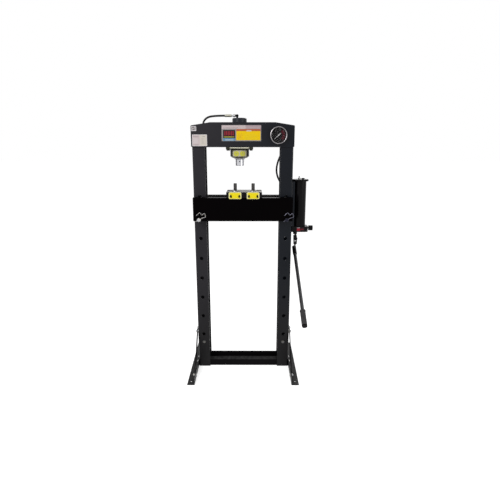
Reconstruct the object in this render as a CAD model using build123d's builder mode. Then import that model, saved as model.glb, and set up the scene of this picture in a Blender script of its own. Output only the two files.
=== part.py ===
from build123d import *
import math
import os

# H-frame workshop press. Millimetres, +X to the right, +Y to the back, +Z up.
# The origin lies on the floor, in the middle of the four floor bolt holes.
os.makedirs("parts", exist_ok=True)

# Posts: channels with the web outwards
POST_SPREAD = 712.0
POST_FACE = 90.0
POST_DEPTH = 120.0
POST_WALL = 8.0
POST_BEND = 12.0
POST_TOP = 1835.0
HOLE_FIRST = 276.4
HOLE_PITCH = 153.2
HOLE_COUNT = 8
HOLE_DIAMETER = 28.0
HOLE_INSET = 44.0
TIE_BOLT_HEIGHT = 212.0

# Head
HEAD_WIDTH = 720.0
HEAD_TOP = 1863.0
HEAD_BOTTOM = 1697.0
SHOULDER_RUN = 134.0
SHOULDER_DROP = 21.0
HEAD_PLATE = 10.0
HEAD_CORNER = 7.0
LOWER_PLATE = 20.0
UPPER_PLATE = 12.0

# Feet, braces and rails
FOOT_LENGTH = 670.0
ANGLE_LEG = 55.0
ANGLE_WALL = 5.0
FLOOR_HOLE_Y = 290.0
FLOOR_HOLE_DIAMETER = 14.0
BRACE_WIDTH = 40.0
BRACE_TOP = (35.0, 290.0)
BRACE_FOOT = (245.0, 30.0)
FOOT_BOLT = (35.0, 28.0)
RAIL_LEG = 50.0
RAIL_HALF = 338.0
FRONT_RAIL_TOP = 53.0
REAR_RAIL_TOP = 74.0
BOLT_DIAMETER = 12.0
BOLT_CLEARANCE = 0.5
HEX_ACROSS = 19.0
HEX_HEIGHT = 8.0
THREAD_END = 3.0

# Cylinder, on an axis left of the middle of the head
RAM_X = -23.0
BODY_RADIUS = 54.0
SHOULDER_RADIUS = 67.0
BORE_RADIUS = 45.0
BODY_BOTTOM = 1622.0
BODY_CHAMFER = (17.0, 12.0)
BORE_TOP = 1826.0
NECK_RADIUS = 36.0
NECK_TOP = 1891.0
RING_NUT_RADIUS = 51.0
RING_NUT_TOP = 1894.0
FLANGE_WIDTH = 192.0
FLANGE_DEPTH = 148.0
FLANGE_THICKNESS = 16.0
FLANGE_BOLT = (82.0, 45.0)
RAM_RADIUS = 30.0
RAM_HOLLOW = 20.0
PISTON_HEIGHT = 25.0
GLAND_HEIGHT = 28.0
GLAND_LIP = 9.5
GAUGE_PORT_Z = 1838.0
SADDLE_RADIUS = 31.35
SADDLE_BOTTOM = 1567.0
SADDLE_TOP = 1611.5
RUNNING = 0.05
REST_GAP = 0.3
SPRING_OUTER = 15.0
SPRING_WIRE = 4.0
EYE_RADIUS = 6.5
SET_SCREW_Z = 1597.0

# Gauge on the front of the head
GAUGE_X = 248.0
GAUGE_Z = 1776.0
GAUGE_FRONT = -101.0
GAUGE_BACK = -74.0
BEZEL_RADIUS = 59.0
DIAL_RADIUS = 52.5
CASE_WALL = 3.0
POINTER_REST_DEGREES = 220.0
POINTER_OUTLINE = [(-18, -4), (-6, -2.4), (0, -2), (42, -0.7), (42, 0.7), (0, 2), (-6, 2.4), (-18, 4)]
POINTER_HUB = 5.0
STEM_RADIUS = 7.0
STEM_BLOCK = 22.0

# Bed
BED_TOP = 1348.6
BED_HEIGHT = 168.0
BED_LENGTH = 710.0
BED_DEPTH = 243.2
BED_WALL = 8.0
BED_GAP = 1.0
PIN_DIAMETER = 26.0
PIN_FRONT = -150.0
PIN_LENGTH = 290.0
PIN_CLIP_Y = -137.0
CLIP_WIRE = 4.5
CLIP_SLOPE = 27.0
CLIP_POINTS = [(27, 14), (49, 20), (40, 50), (22, 32), (6, 53), (-18, 30)]
CLIP_LEG = 26.0
LOWER_FLANGE_HALF = 288.0
SPACER_X = 240.0

# Arbor plates on the bed
PLATE_WIDTH = 126.0
PLATE_DEPTH = 200.0
PLATE_THICKNESS = 40.0
PLATE_CENTRES = {"left": -54.4, "right": 72.8}
KEEPER = (90.0, 47.0, 8.0)
KEEPER_SCREW_PITCH = 59.0
PEG_RADIUS = 12.0
PEG_HEIGHT = 60.0
PEG_Y = -80.0

# Pump on the outer side of the right-hand post
PUMP_X = 418.0
BASE_BOTTOM = 1089.0
BASE_TOP = 1130.0
BASE_RIGHT = 480.0
BASE_HALF_DEPTH = 46.0
TANK_RADIUS = 43.5
TANK_WALL = 3.0
TANK_TOP = 1458.0
BRACKET_WIDTH = 84.0
BRACKET_WALL = 5.0
LID_RADIUS = 59.0
LID_HEIGHT = 14.5
LEVER_X = 388.0
FULCRUM = (-30.0, 1036.0)
PLUNGER_ARM = 24.0
PLUNGER_TILT = 30.0
PLUNGER_RADIUS = 6.0
LUG_THICKNESS = 12.6
CHEEK_THICKNESS = 5.4
BARREL_BOTTOM = 1068.0
HANDLE_POINT = (-32.6, 924.4)
HANDLE_DROP = 25.0
SOCKET_BACK = 75.0
SOCKET_FRONT = 8.0
SOCKET_RADIUS = 15.5
HANDLE_RADIUS = 12.2
HANDLE_WALL = 2.5
GRIP_START = 582.0
GRIP_END = 704.0
GRIP_RADIUS = 17.5
CAP_END = 711.0
KNOB_RADIUS = 19.0
KNOB_LENGTH = 31.0
KNOB_Z = 1112.0

# Hose
HOSE_DIAMETER = 14.0
PORT_X = -39.0
HOSE_HEIGHT = 1911.0
HOSE_ROUTE = [
    (-126, 0, 1911), (-196, 0, 1911), (-260, 34, 1902), (-296, 96, 1864), (-284, 146, 1806),
    (-226, 160, 1758), (-134, 156, 1732), (-20, 148, 1740), (92, 141, 1770), (156, 137, 1793),
    (206, 134, 1801), (254, 131, 1786), (288, 128, 1746), (296, 126, 1694), (280, 125, 1642),
    (258, 125, 1590), (248, 127, 1536), (256, 129, 1486), (282, 133, 1436), (316, 137, 1386),
    (354, 138, 1338), (386, 130, 1290), (408, 112, 1246), (418, 96, 1200), (418, 96, 1158),
]
PORT_BEND = (418.0, 96.0)
PORT_Z = 1105.0
ELBOW_RADIUS = 8.0
ELBOW_REACH = 15.0
UNION_NUT = 14.0
UNION_NECK = 10.0

post_half = POST_SPREAD / 2
face_y = POST_DEPTH / 2
post_inner = post_half - POST_FACE
hole_x = post_half - HOLE_INSET
hole_heights = [HOLE_FIRST + i * HOLE_PITCH for i in range(HOLE_COUNT)]
pin_hole_height = hole_heights[-2]
pin_height = pin_hole_height - (HOLE_DIAMETER - PIN_DIAMETER) / 2 + REST_GAP
web_inner = post_half - POST_WALL
bolt_radius = BOLT_DIAMETER / 2
bolt_hole = bolt_radius + BOLT_CLEARANCE / 2
SIDES = {"left": -1, "right": 1}


def save(name, part):
    part.label = name
    export_step(part, "parts/" + name + ".step")


def across(x):
    """Plane square to X at x, with the sketch's x along +Y and its y along +Z."""
    return Plane(origin=(x, 0, 0), x_dir=(0, 1, 0), z_dir=(1, 0, 0))


def facing(y):
    """Plane square to Y at y, with the sketch's x along +X, its y along +Z, extruding to the back."""
    return Plane(origin=(0, y, 0), x_dir=(1, 0, 0), z_dir=(0, -1, 0))


# Posts
for side, sign in SIDES.items():
    with BuildPart() as post:
        with BuildSketch() as channel:
            with BuildLine():
                Polyline(
                    (sign * post_inner, face_y - POST_WALL), (sign * post_inner, face_y),
                    (sign * post_half, face_y), (sign * post_half, -face_y),
                    (sign * post_inner, -face_y), (sign * post_inner, -face_y + POST_WALL),
                    (sign * web_inner, -face_y + POST_WALL), (sign * web_inner, face_y - POST_WALL),
                    close=True,
                )
            make_face()
            web_corners = channel.vertices().filter_by_position(
                Axis.X, sign * post_half - 0.1, sign * post_half + 0.1)
            fillet(web_corners, POST_BEND)
            bend_corners = channel.vertices().filter_by_position(
                Axis.X, sign * web_inner - 0.1, sign * web_inner + 0.1)
            fillet(bend_corners, POST_BEND - POST_WALL)
        extrude(amount=POST_TOP)
        with BuildSketch(facing(0)):
            with Locations(*[(sign * hole_x, z) for z in hole_heights]):
                Circle(HOLE_DIAMETER / 2)
            with Locations((sign * (hole_x - 3), TIE_BOLT_HEIGHT)):
                Circle(bolt_hole)
        extrude(amount=POST_DEPTH, both=True, mode=Mode.SUBTRACT)
        with BuildSketch(across(sign * post_half)):
            for y, z in (BRACE_TOP, FOOT_BOLT):
                with Locations((y, z), (-y, z)):
                    Circle(bolt_hole)
        extrude(amount=2 * POST_WALL, both=True, mode=Mode.SUBTRACT)
    save(side + "_post", post.part)

# Head plates, cut to one outline with sloping shoulders
head_half = HEAD_WIDTH / 2
for name, y_back in (("head_front", -face_y), ("head_rear", face_y + HEAD_PLATE)):
    with BuildPart() as head:
        with BuildSketch(facing(y_back)) as outline:
            with BuildLine():
                Polyline(
                    (-head_half, HEAD_BOTTOM), (-head_half, HEAD_TOP - SHOULDER_DROP),
                    (-head_half + SHOULDER_RUN, HEAD_TOP), (head_half - SHOULDER_RUN, HEAD_TOP),
                    (head_half, HEAD_TOP - SHOULDER_DROP), (head_half, HEAD_BOTTOM),
                    close=True,
                )
            make_face()
            fillet(outline.vertices(), HEAD_CORNER)
            if name == "head_front":
                with Locations((GAUGE_X, GAUGE_Z)):
                    Circle(8, mode=Mode.SUBTRACT)
        extrude(amount=HEAD_PLATE)
    save(name, head.part)

# Plates between the head plates
with BuildPart() as lower_plate:
    with BuildSketch(Plane.XY.offset(HEAD_BOTTOM)):
        Rectangle(2 * post_inner, POST_DEPTH)
        with Locations((RAM_X, 0)):
            Circle(BODY_RADIUS + REST_GAP, mode=Mode.SUBTRACT)
            with GridLocations(2 * FLANGE_BOLT[0], 2 * FLANGE_BOLT[1], 2, 2):
                Circle(bolt_hole, mode=Mode.SUBTRACT)
    extrude(amount=LOWER_PLATE)
save("head_lower_plate", lower_plate.part)

with BuildPart() as upper_plate:
    with BuildSketch(Plane.XY.offset(HEAD_TOP - UPPER_PLATE)):
        Rectangle(HEAD_WIDTH - 2 * SHOULDER_RUN, POST_DEPTH)
        with Locations((RAM_X, 0)):
            Circle(NECK_RADIUS + BOLT_CLEARANCE, mode=Mode.SUBTRACT)
    extrude(amount=UPPER_PLATE)
save("head_upper_plate", upper_plate.part)


def angle_profile(heel, toward_y, toward_z, leg):
    """Outline points of an equal angle in the YZ plane, from its heel along the two legs."""
    y, z = heel
    a = leg
    t = ANGLE_WALL
    return [
        (y, z), (y + toward_y * a, z), (y + toward_y * a, z + toward_z * t),
        (y + toward_y * t, z + toward_z * t), (y + toward_y * t, z + toward_z * a),
        (y, z + toward_z * a),
    ]


# Cross rails inside the posts' channels: one angle turned leg down, the other leg up
rail_heel = face_y - POST_WALL
rail_places = (
    ((-rail_heel, FRONT_RAIL_TOP), 1, -1), ((rail_heel, REAR_RAIL_TOP - RAIL_LEG), -1, 1))
with BuildPart() as cross_rails:
    for heel, toward_y, toward_z in rail_places:
        with BuildSketch(across(-RAIL_HALF)) as section:
            with BuildLine():
                Polyline(*angle_profile(heel, toward_y, toward_z, RAIL_LEG), close=True)
            make_face()
            inner_corner = section.vertices().sort_by_distance(
                (heel[0] + toward_y * ANGLE_WALL, heel[1] + toward_z * ANGLE_WALL, 0))[0]
            fillet(inner_corner, ANGLE_WALL)
            heel_corner = section.vertices().sort_by_distance((heel[0], heel[1], 0))[0]
            fillet(heel_corner, 2)
        extrude(amount=2 * RAIL_HALF)
save("cross_rails", cross_rails.part)

# Feet: angles that lie outside the posts, upright leg against the web
foot_half = FOOT_LENGTH / 2
for side, sign in SIDES.items():
    with BuildPart() as foot:
        with BuildSketch(facing(foot_half)) as section:
            with BuildLine():
                Polyline(
                    (sign * post_half, 0), (sign * (post_half + ANGLE_LEG), 0),
                    (sign * (post_half + ANGLE_LEG), ANGLE_WALL),
                    (sign * (post_half + ANGLE_WALL), ANGLE_WALL),
                    (sign * (post_half + ANGLE_WALL), ANGLE_LEG), (sign * post_half, ANGLE_LEG),
                    close=True,
                )
            make_face()
            inner_corner = section.vertices().sort_by_distance(
                (sign * (post_half + ANGLE_WALL), ANGLE_WALL, 0))[0]
            fillet(inner_corner, ANGLE_WALL)
        extrude(amount=FOOT_LENGTH)
        with BuildSketch():
            with Locations((sign * (post_half + 30), 0)):
                with GridLocations(1, 2 * FLOOR_HOLE_Y, 1, 2):
                    Circle(FLOOR_HOLE_DIAMETER / 2)
        extrude(amount=2 * ANGLE_WALL, both=True, mode=Mode.SUBTRACT)
        with BuildSketch(across(sign * post_half)):
            for y, z in (BRACE_FOOT, FOOT_BOLT):
                with Locations((y, z), (-y, z)):
                    Circle(bolt_hole)
        extrude(amount=2 * ANGLE_WALL, both=True, mode=Mode.SUBTRACT)
    save(side + "_foot", foot.part)

# Braces: flat bars with round ends, from the post's web down to the foot
brace_inner = post_half + ANGLE_WALL
brace_run = math.hypot(BRACE_FOOT[0] - BRACE_TOP[0], BRACE_FOOT[1] - BRACE_TOP[1])
brace_middle = ((BRACE_TOP[0] + BRACE_FOOT[0]) / 2, (BRACE_TOP[1] + BRACE_FOOT[1]) / 2)
with BuildPart() as braces:
    for sign in SIDES.values():
        for toward in (-1, 1):
            slope = math.degrees(math.atan2(
                BRACE_FOOT[1] - BRACE_TOP[1], toward * (BRACE_FOOT[0] - BRACE_TOP[0])))
            with BuildSketch(across(sign * brace_inner)):
                with Locations(Location((toward * brace_middle[0], brace_middle[1], 0), (0, 0, slope))):
                    SlotCenterToCenter(brace_run, BRACE_WIDTH)
                for y, z in (BRACE_TOP, BRACE_FOOT):
                    with Locations((toward * y, z)):
                        Circle(bolt_hole, mode=Mode.SUBTRACT)
            extrude(amount=sign * ANGLE_WALL)
save("braces", braces.part)

with BuildPart() as spacers:
    for sign in SIDES.values():
        with BuildSketch(across(sign * post_half)):
            with Locations((BRACE_TOP[0], BRACE_TOP[1]), (-BRACE_TOP[0], BRACE_TOP[1])):
                Circle(HEX_ACROSS * 0.7)
                Circle(bolt_hole, mode=Mode.SUBTRACT)
        extrude(amount=sign * ANGLE_WALL)
save("brace_spacers", spacers.part)

# Frame bolts: hex head inside, nut outside. The tie bolts run from the front to the back.
outer_foot = post_half + ANGLE_WALL
outer_brace = brace_inner + ANGLE_WALL
bolt_stacks = (
    (FOOT_BOLT, web_inner, outer_foot), (BRACE_TOP, web_inner, outer_brace),
    (BRACE_FOOT, post_half, outer_brace))
with BuildPart() as frame_bolts:
    for sign in SIDES.values():
        for (y, z), start, stop in bolt_stacks:
            with BuildSketch(across(sign * (start - HEX_HEIGHT))):
                with Locations((y, z), (-y, z)):
                    RegularPolygon(HEX_ACROSS / 2, 6, major_radius=False)
            extrude(amount=sign * HEX_HEIGHT)
            with BuildSketch(across(sign * stop)):
                with Locations((y, z), (-y, z)):
                    RegularPolygon(HEX_ACROSS / 2, 6, major_radius=False)
            extrude(amount=sign * HEX_HEIGHT)
            with BuildSketch(across(sign * start)):
                with Locations((y, z), (-y, z)):
                    Circle(bolt_radius)
            extrude(amount=sign * (stop - start + HEX_HEIGHT + THREAD_END))
        tie_place = (sign * (hole_x - 3), TIE_BOLT_HEIGHT)
        for y_back in (-face_y, face_y + HEX_HEIGHT):
            with BuildSketch(facing(y_back)):
                with Locations(tie_place):
                    RegularPolygon(HEX_ACROSS / 2, 6, major_radius=False)
            extrude(amount=HEX_HEIGHT)
        with BuildSketch(facing(face_y + HEX_HEIGHT + THREAD_END)):
            with Locations(tie_place):
                Circle(bolt_radius)
        extrude(amount=POST_DEPTH + HEX_HEIGHT + THREAD_END)
save("frame_bolts", frame_bolts.part)


def turned(name, points, x=RAM_X, y=0.0):
    """A turned piece from its half section, given as radius and height, round a vertical axis."""
    plane = Plane(origin=(x, y, 0), x_dir=(1, 0, 0), z_dir=(0, -1, 0))
    with BuildPart() as piece:
        with BuildSketch(plane):
            with BuildLine():
                Polyline(*points, close=True)
            make_face()
        revolve(axis=Axis((x, y, 0), (0, 0, 1)))
    piece.part.label = name
    return piece.part


# Cylinder body: blind bore open below, a shoulder under the head, a threaded neck on top with the
# oil port beside its middle, and a lug under the crown that the return spring hangs on
upper_face = HEAD_TOP - UPPER_PLATE
lug_hole_z = BORE_TOP - 9
body_shape = turned("cylinder_body", [
    (BORE_RADIUS, BODY_BOTTOM), (SHOULDER_RADIUS - BODY_CHAMFER[0], BODY_BOTTOM),
    (SHOULDER_RADIUS, BODY_BOTTOM + BODY_CHAMFER[1]), (SHOULDER_RADIUS, HEAD_BOTTOM),
    (BODY_RADIUS, HEAD_BOTTOM), (BODY_RADIUS, upper_face),
    (NECK_RADIUS, upper_face), (NECK_RADIUS, NECK_TOP - 2), (NECK_RADIUS - 2, NECK_TOP),
    (0, NECK_TOP), (0, BORE_TOP), (BORE_RADIUS, BORE_TOP),
])
with BuildPart() as cylinder_body:
    add(body_shape)
    with BuildSketch(facing(2.5)):
        with Locations((RAM_X, lug_hole_z)):
            Circle(8)
        with Locations((RAM_X, (lug_hole_z + BORE_TOP + 1) / 2)):
            Rectangle(16, BORE_TOP + 1 - lug_hole_z)
    extrude(amount=5)
    with BuildSketch(facing(6)):
        with Locations((RAM_X, lug_hole_z)):
            Circle(4)
    extrude(amount=12, mode=Mode.SUBTRACT)
    with BuildSketch(Plane.XY.offset(NECK_TOP)):
        with Locations((PORT_X, 0)):
            Circle(5)
    extrude(amount=BORE_TOP - NECK_TOP - 1, mode=Mode.SUBTRACT)
    with BuildSketch(across(PORT_X)):
        with Locations((0, GAUGE_PORT_Z)):
            Circle(2.5)
    extrude(amount=RAM_X + BODY_RADIUS + 1 - PORT_X, mode=Mode.SUBTRACT)
save("cylinder_body", cylinder_body.part)

with BuildPart() as mounting_flange:
    with BuildSketch(Plane.XY.offset(HEAD_BOTTOM)):
        with Locations((RAM_X, 0)):
            RectangleRounded(FLANGE_WIDTH, FLANGE_DEPTH, 22)
            Circle(SHOULDER_RADIUS, mode=Mode.SUBTRACT)
            with GridLocations(2 * FLANGE_BOLT[0], 2 * FLANGE_BOLT[1], 2, 2):
                Circle(bolt_hole, mode=Mode.SUBTRACT)
    extrude(amount=-FLANGE_THICKNESS)
    chamfer(mounting_flange.faces().sort_by(Axis.Z)[0].outer_wire().edges(), 2)
save("mounting_flange", mounting_flange.part)

with BuildPart() as flange_bolts:
    with BuildSketch(Plane.XY.offset(HEAD_BOTTOM - FLANGE_THICKNESS)):
        with Locations((RAM_X, 0)):
            with GridLocations(2 * FLANGE_BOLT[0], 2 * FLANGE_BOLT[1], 2, 2):
                RegularPolygon(HEX_ACROSS / 2, 6, major_radius=False)
    extrude(amount=-HEX_HEIGHT)
    with BuildSketch(Plane.XY.offset(HEAD_BOTTOM - FLANGE_THICKNESS - 1)):
        with Locations((RAM_X, 0)):
            with GridLocations(2 * FLANGE_BOLT[0], 2 * FLANGE_BOLT[1], 2, 2):
                Circle(bolt_radius)
    extrude(amount=FLANGE_THICKNESS + LOWER_PLATE + 5)
save("flange_bolts", flange_bolts.part)

# Ring nut with four spanner slots round its edge
ring_shape = turned("ring_nut", [
    (NECK_RADIUS, HEAD_TOP), (RING_NUT_RADIUS, HEAD_TOP), (RING_NUT_RADIUS, RING_NUT_TOP - 4),
    (RING_NUT_RADIUS - 4, RING_NUT_TOP), (NECK_RADIUS, RING_NUT_TOP),
])
with BuildPart() as ring_nut:
    add(ring_shape)
    with Locations((RAM_X, 0, (HEAD_TOP + 9 + RING_NUT_TOP) / 2)):
        with PolarLocations(RING_NUT_RADIUS, 4, start_angle=-90):
            Box(10, 10, RING_NUT_TOP - HEAD_TOP - 9, mode=Mode.SUBTRACT)
save("ring_nut", ring_nut.part)

gland_top = BODY_BOTTOM + GLAND_HEIGHT
gland_bottom = BODY_BOTTOM - GLAND_LIP
ram_bore = RAM_RADIUS + RUNNING
save("gland", turned("gland", [
    (ram_bore, gland_bottom + 4), (ram_bore, gland_top), (BORE_RADIUS, gland_top),
    (BORE_RADIUS, BODY_BOTTOM), (BORE_RADIUS - 3, BODY_BOTTOM - 1),
    (RAM_RADIUS + 5, gland_bottom), (RAM_RADIUS + 3.5, gland_bottom),
    (RAM_RADIUS + 3.5, gland_bottom + 4),
]))
save("ram_wiper", turned("ram_wiper", [
    (ram_bore, gland_bottom + 0.5), (ram_bore, gland_bottom + 4),
    (RAM_RADIUS + 3.5, gland_bottom + 4), (RAM_RADIUS + 3.5, gland_bottom + 0.5),
]))

# Ram with its piston, at rest at the top of the bore
piston_top = BORE_TOP - REST_GAP
piston_bottom = piston_top - PISTON_HEIGHT
piston_radius = BORE_RADIUS - RUNNING
stem_radius = RAM_RADIUS - 6
groove = (piston_bottom + 9, piston_bottom + 17)
save("piston", turned("piston", [
    (stem_radius, piston_bottom), (piston_radius, piston_bottom), (piston_radius, groove[0]),
    (piston_radius - 5, groove[0]), (piston_radius - 5, groove[1]), (piston_radius, groove[1]),
    (piston_radius, piston_top - 2), (piston_radius - 2, piston_top), (stem_radius, piston_top),
]))
save("piston_seal", turned("piston_seal", [
    (piston_radius - 5, groove[0]), (piston_radius, groove[0]),
    (piston_radius, groove[1]), (piston_radius - 5, groove[1]),
]))
ram_end = SADDLE_BOTTOM + 10
ram_shape = turned("ram", [
    (0, ram_end), (RAM_RADIUS - 2, ram_end), (RAM_RADIUS, ram_end + 2),
    (RAM_RADIUS, piston_bottom), (stem_radius, piston_bottom), (stem_radius, piston_top - 2),
    (RAM_HOLLOW, piston_top - 2), (RAM_HOLLOW, ram_end + 14), (0, ram_end + 14),
])
spring_pin_height = ram_end + 34
with BuildPart() as ram:
    add(ram_shape)
    with BuildSketch(across(RAM_X)):
        with Locations((0, spring_pin_height)):
            Circle(3)
    extrude(amount=RAM_RADIUS + 1, both=True, mode=Mode.SUBTRACT)
save("ram", ram.part)

with BuildPart() as spring_pin:
    with BuildSketch(across(RAM_X)):
        with Locations((0, spring_pin_height)):
            Circle(3)
    extrude(amount=RAM_RADIUS - 1, both=True)
save("spring_pin", spring_pin.part)

# Close-wound extension spring inside the ram, its eyes hooked on the crown's lug and the ram's pin
upper_eye = lug_hole_z - 3 + SPRING_WIRE / 2 - EYE_RADIUS
lower_eye = spring_pin_height - 3 - SPRING_WIRE / 2 + EYE_RADIUS
coil_high = upper_eye - EYE_RADIUS - 1
coil_low = lower_eye + EYE_RADIUS + 1
coil_count = round((coil_high - coil_low) / 12)
coil_pitch = (coil_high - coil_low) / coil_count
crest = SPRING_OUTER - 1
with BuildPart() as return_spring:
    with BuildSketch(Plane(origin=(RAM_X, 0, 0), x_dir=(1, 0, 0), z_dir=(0, -1, 0))):
        with BuildLine():
            Line((SPRING_OUTER - SPRING_WIRE, coil_low), (crest, coil_low))
            for i in range(coil_count):
                low = coil_low + i * coil_pitch
                ThreePointArc(
                    (crest, low), (SPRING_OUTER, low + coil_pitch / 2), (crest, low + coil_pitch))
            Polyline(
                (crest, coil_high), (SPRING_OUTER - SPRING_WIRE, coil_high),
                (SPRING_OUTER - SPRING_WIRE, coil_low))
        make_face()
    revolve(axis=Axis((RAM_X, 0, 0), (0, 0, 1)))
    for eye, coil_end in ((upper_eye, coil_high), (lower_eye, coil_low)):
        with Locations(Location((RAM_X, 0, eye), (0, 90, 0))):
            Torus(EYE_RADIUS, SPRING_WIRE / 2)
        with Locations((RAM_X, 0, coil_end)):
            Box(SPRING_WIRE, 2 * SPRING_OUTER - SPRING_WIRE, 3)
save("return_spring", return_spring.part)

# Saddle: a cup on the ram's end, held by a set screw at the front
saddle_shape = turned("saddle", [
    (0, SADDLE_BOTTOM), (SADDLE_RADIUS - 2, SADDLE_BOTTOM), (SADDLE_RADIUS, SADDLE_BOTTOM + 2),
    (SADDLE_RADIUS, SADDLE_TOP - 1), (SADDLE_RADIUS - 0.8, SADDLE_TOP), (RAM_RADIUS, SADDLE_TOP),
    (RAM_RADIUS, ram_end), (0, ram_end),
])
with BuildPart() as saddle:
    add(saddle_shape)
    with BuildSketch(facing(0)):
        with Locations((RAM_X, SET_SCREW_Z)):
            Circle(4)
    extrude(amount=SADDLE_RADIUS + 2, mode=Mode.SUBTRACT)
save("saddle", saddle.part)

with BuildPart() as saddle_set_screw:
    with BuildSketch(facing(-RAM_RADIUS)):
        with Locations((RAM_X, SET_SCREW_Z)):
            Circle(4)
    extrude(amount=SADDLE_RADIUS - RAM_RADIUS - 0.3)
save("saddle_set_screw", saddle_set_screw.part)


def gauge_turned(name, points):
    """A piece of the gauge, turned round its axis, from points given as radius and depth in Y."""
    plane = Plane(origin=(GAUGE_X, 0, GAUGE_Z), x_dir=(1, 0, 0), z_dir=(0, 0, 1))
    with BuildPart() as piece:
        with BuildSketch(plane):
            with BuildLine():
                Polyline(*points, close=True)
            make_face()
        revolve(axis=Axis((GAUGE_X, 0, GAUGE_Z), (0, 1, 0)))
    piece.part.label = name
    return piece.part


dial_y = GAUGE_FRONT + 14
window_y = GAUGE_FRONT + 4
case_radius = DIAL_RADIUS + CASE_WALL
save("gauge_case", gauge_turned("gauge_case", [
    (0, GAUGE_BACK), (case_radius - 4, GAUGE_BACK), (case_radius, GAUGE_BACK - 4),
    (case_radius, GAUGE_FRONT + 7), (DIAL_RADIUS, GAUGE_FRONT + 7), (DIAL_RADIUS, dial_y + 2),
    (0, dial_y + 2),
]))
save("gauge_bezel", gauge_turned("gauge_bezel", [
    (case_radius, GAUGE_FRONT + 14), (BEZEL_RADIUS, GAUGE_FRONT + 12),
    (BEZEL_RADIUS, GAUGE_FRONT + 4), (BEZEL_RADIUS - 1.2, GAUGE_FRONT + 1.2),
    (BEZEL_RADIUS - 4, GAUGE_FRONT), (DIAL_RADIUS, GAUGE_FRONT + 1), (DIAL_RADIUS, window_y),
    (case_radius, window_y),
]))
save("gauge_window", gauge_turned("gauge_window", [
    (0, window_y), (case_radius - 0.5, window_y), (case_radius - 0.5, window_y + 2), (0, window_y + 2),
]))
save("gauge_dial", gauge_turned("gauge_dial", [
    (POINTER_HUB, dial_y), (DIAL_RADIUS, dial_y), (DIAL_RADIUS, dial_y + 2), (POINTER_HUB, dial_y + 2),
]))

# Pointer on its shaft, resting at the zero mark
pointer_y = dial_y - 3
rest_angle = math.radians(POINTER_REST_DEGREES)
pointer_plane = Plane(
    origin=(GAUGE_X, pointer_y, GAUGE_Z), x_dir=(math.cos(rest_angle), 0, math.sin(rest_angle)),
    z_dir=(0, -1, 0))
with BuildPart() as gauge_pointer:
    with BuildSketch(pointer_plane):
        with BuildLine():
            Polyline(*POINTER_OUTLINE, close=True)
        make_face()
        Circle(POINTER_HUB)
    extrude(amount=1.2)
    with BuildSketch(facing(dial_y + 1.6)):
        with Locations((GAUGE_X, GAUGE_Z)):
            Circle(POINTER_HUB - 1)
    extrude(amount=dial_y + 1.6 - pointer_y)
save("gauge_pointer", gauge_pointer.part)

# Stem through the head plate, a cross block behind it and the pipe to the cylinder
with BuildPart() as gauge_stem:
    with BuildSketch(facing(0)):
        with Locations((GAUGE_X, GAUGE_Z)):
            Circle(STEM_RADIUS)
    extrude(amount=-GAUGE_BACK)
    with Locations((GAUGE_X, 0, GAUGE_Z)):
        Box(STEM_BLOCK, STEM_BLOCK, STEM_BLOCK)
save("gauge_stem", gauge_stem.part)

pipe_start = GAUGE_X - STEM_BLOCK / 2
pipe_end = RAM_X + BODY_RADIUS
with BuildPart() as gauge_pipe:
    with BuildLine() as pipe_path:
        FilletPolyline(
            (pipe_start, 0, GAUGE_Z), (pipe_start - 50, 0, GAUGE_Z), (pipe_end + 45, 0, GAUGE_PORT_Z),
            (pipe_end, 0, GAUGE_PORT_Z), radius=25)
    with BuildSketch(across(pipe_start)):
        with Locations((0, GAUGE_Z)):
            Circle(4)
    sweep(path=pipe_path.line)
    for x, z in ((pipe_start - 10, GAUGE_Z), (pipe_end, GAUGE_PORT_Z)):
        with BuildSketch(across(x)):
            with Locations((0, z)):
                RegularPolygon(7, 6, major_radius=False)
        extrude(amount=10)
save("gauge_pipe", gauge_pipe.part)

# Bed channels: web outwards, cut over the pins, with the lower flange cut back at both ends
bed_outer = BED_DEPTH / 2
bed_inner = face_y + BED_GAP
bed_bottom = BED_TOP - BED_HEIGHT
bed_half = BED_LENGTH / 2
notch_radius = PIN_DIAMETER / 2 + REST_GAP
for name, sign in (("bed_front", -1), ("bed_rear", 1)):
    with BuildPart() as bed:
        with BuildSketch(across(-bed_half)) as section:
            with BuildLine():
                Polyline(
                    (sign * bed_inner, BED_TOP), (sign * bed_outer, BED_TOP),
                    (sign * bed_outer, bed_bottom), (sign * bed_inner, bed_bottom),
                    (sign * bed_inner, bed_bottom + BED_WALL),
                    (sign * (bed_outer - BED_WALL), bed_bottom + BED_WALL),
                    (sign * (bed_outer - BED_WALL), BED_TOP - BED_WALL),
                    (sign * bed_inner, BED_TOP - BED_WALL), close=True,
                )
            make_face()
            web_corners = section.vertices().filter_by_position(
                Axis.X, sign * bed_outer - 0.1, sign * bed_outer + 0.1)
            fillet(web_corners, 10)
            bend_corners = section.vertices().filter_by_position(
                Axis.X, sign * (bed_outer - BED_WALL) - 0.1, sign * (bed_outer - BED_WALL) + 0.1)
            fillet(bend_corners, 3)
        extrude(amount=BED_LENGTH)
        flange_middle = (bed_inner + bed_outer - BED_WALL - 3) / 2
        end_length = bed_half - LOWER_FLANGE_HALF
        for end in (-1, 1):
            with Locations((end * (bed_half - end_length / 2), sign * (flange_middle - 1), bed_bottom)):
                Box(end_length, bed_outer - BED_WALL - bed_inner, 4 * BED_WALL, mode=Mode.SUBTRACT)
        with BuildSketch(facing(0)):
            for end in (-1, 1):
                with Locations((end * hole_x, pin_height)):
                    Circle(notch_radius)
                with Locations((end * hole_x, (bed_bottom - 1 + pin_height) / 2)):
                    Rectangle(2 * notch_radius, pin_height - bed_bottom + 1)
        extrude(amount=-sign * BED_DEPTH, mode=Mode.SUBTRACT)
    save(name, bed.part)

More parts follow.
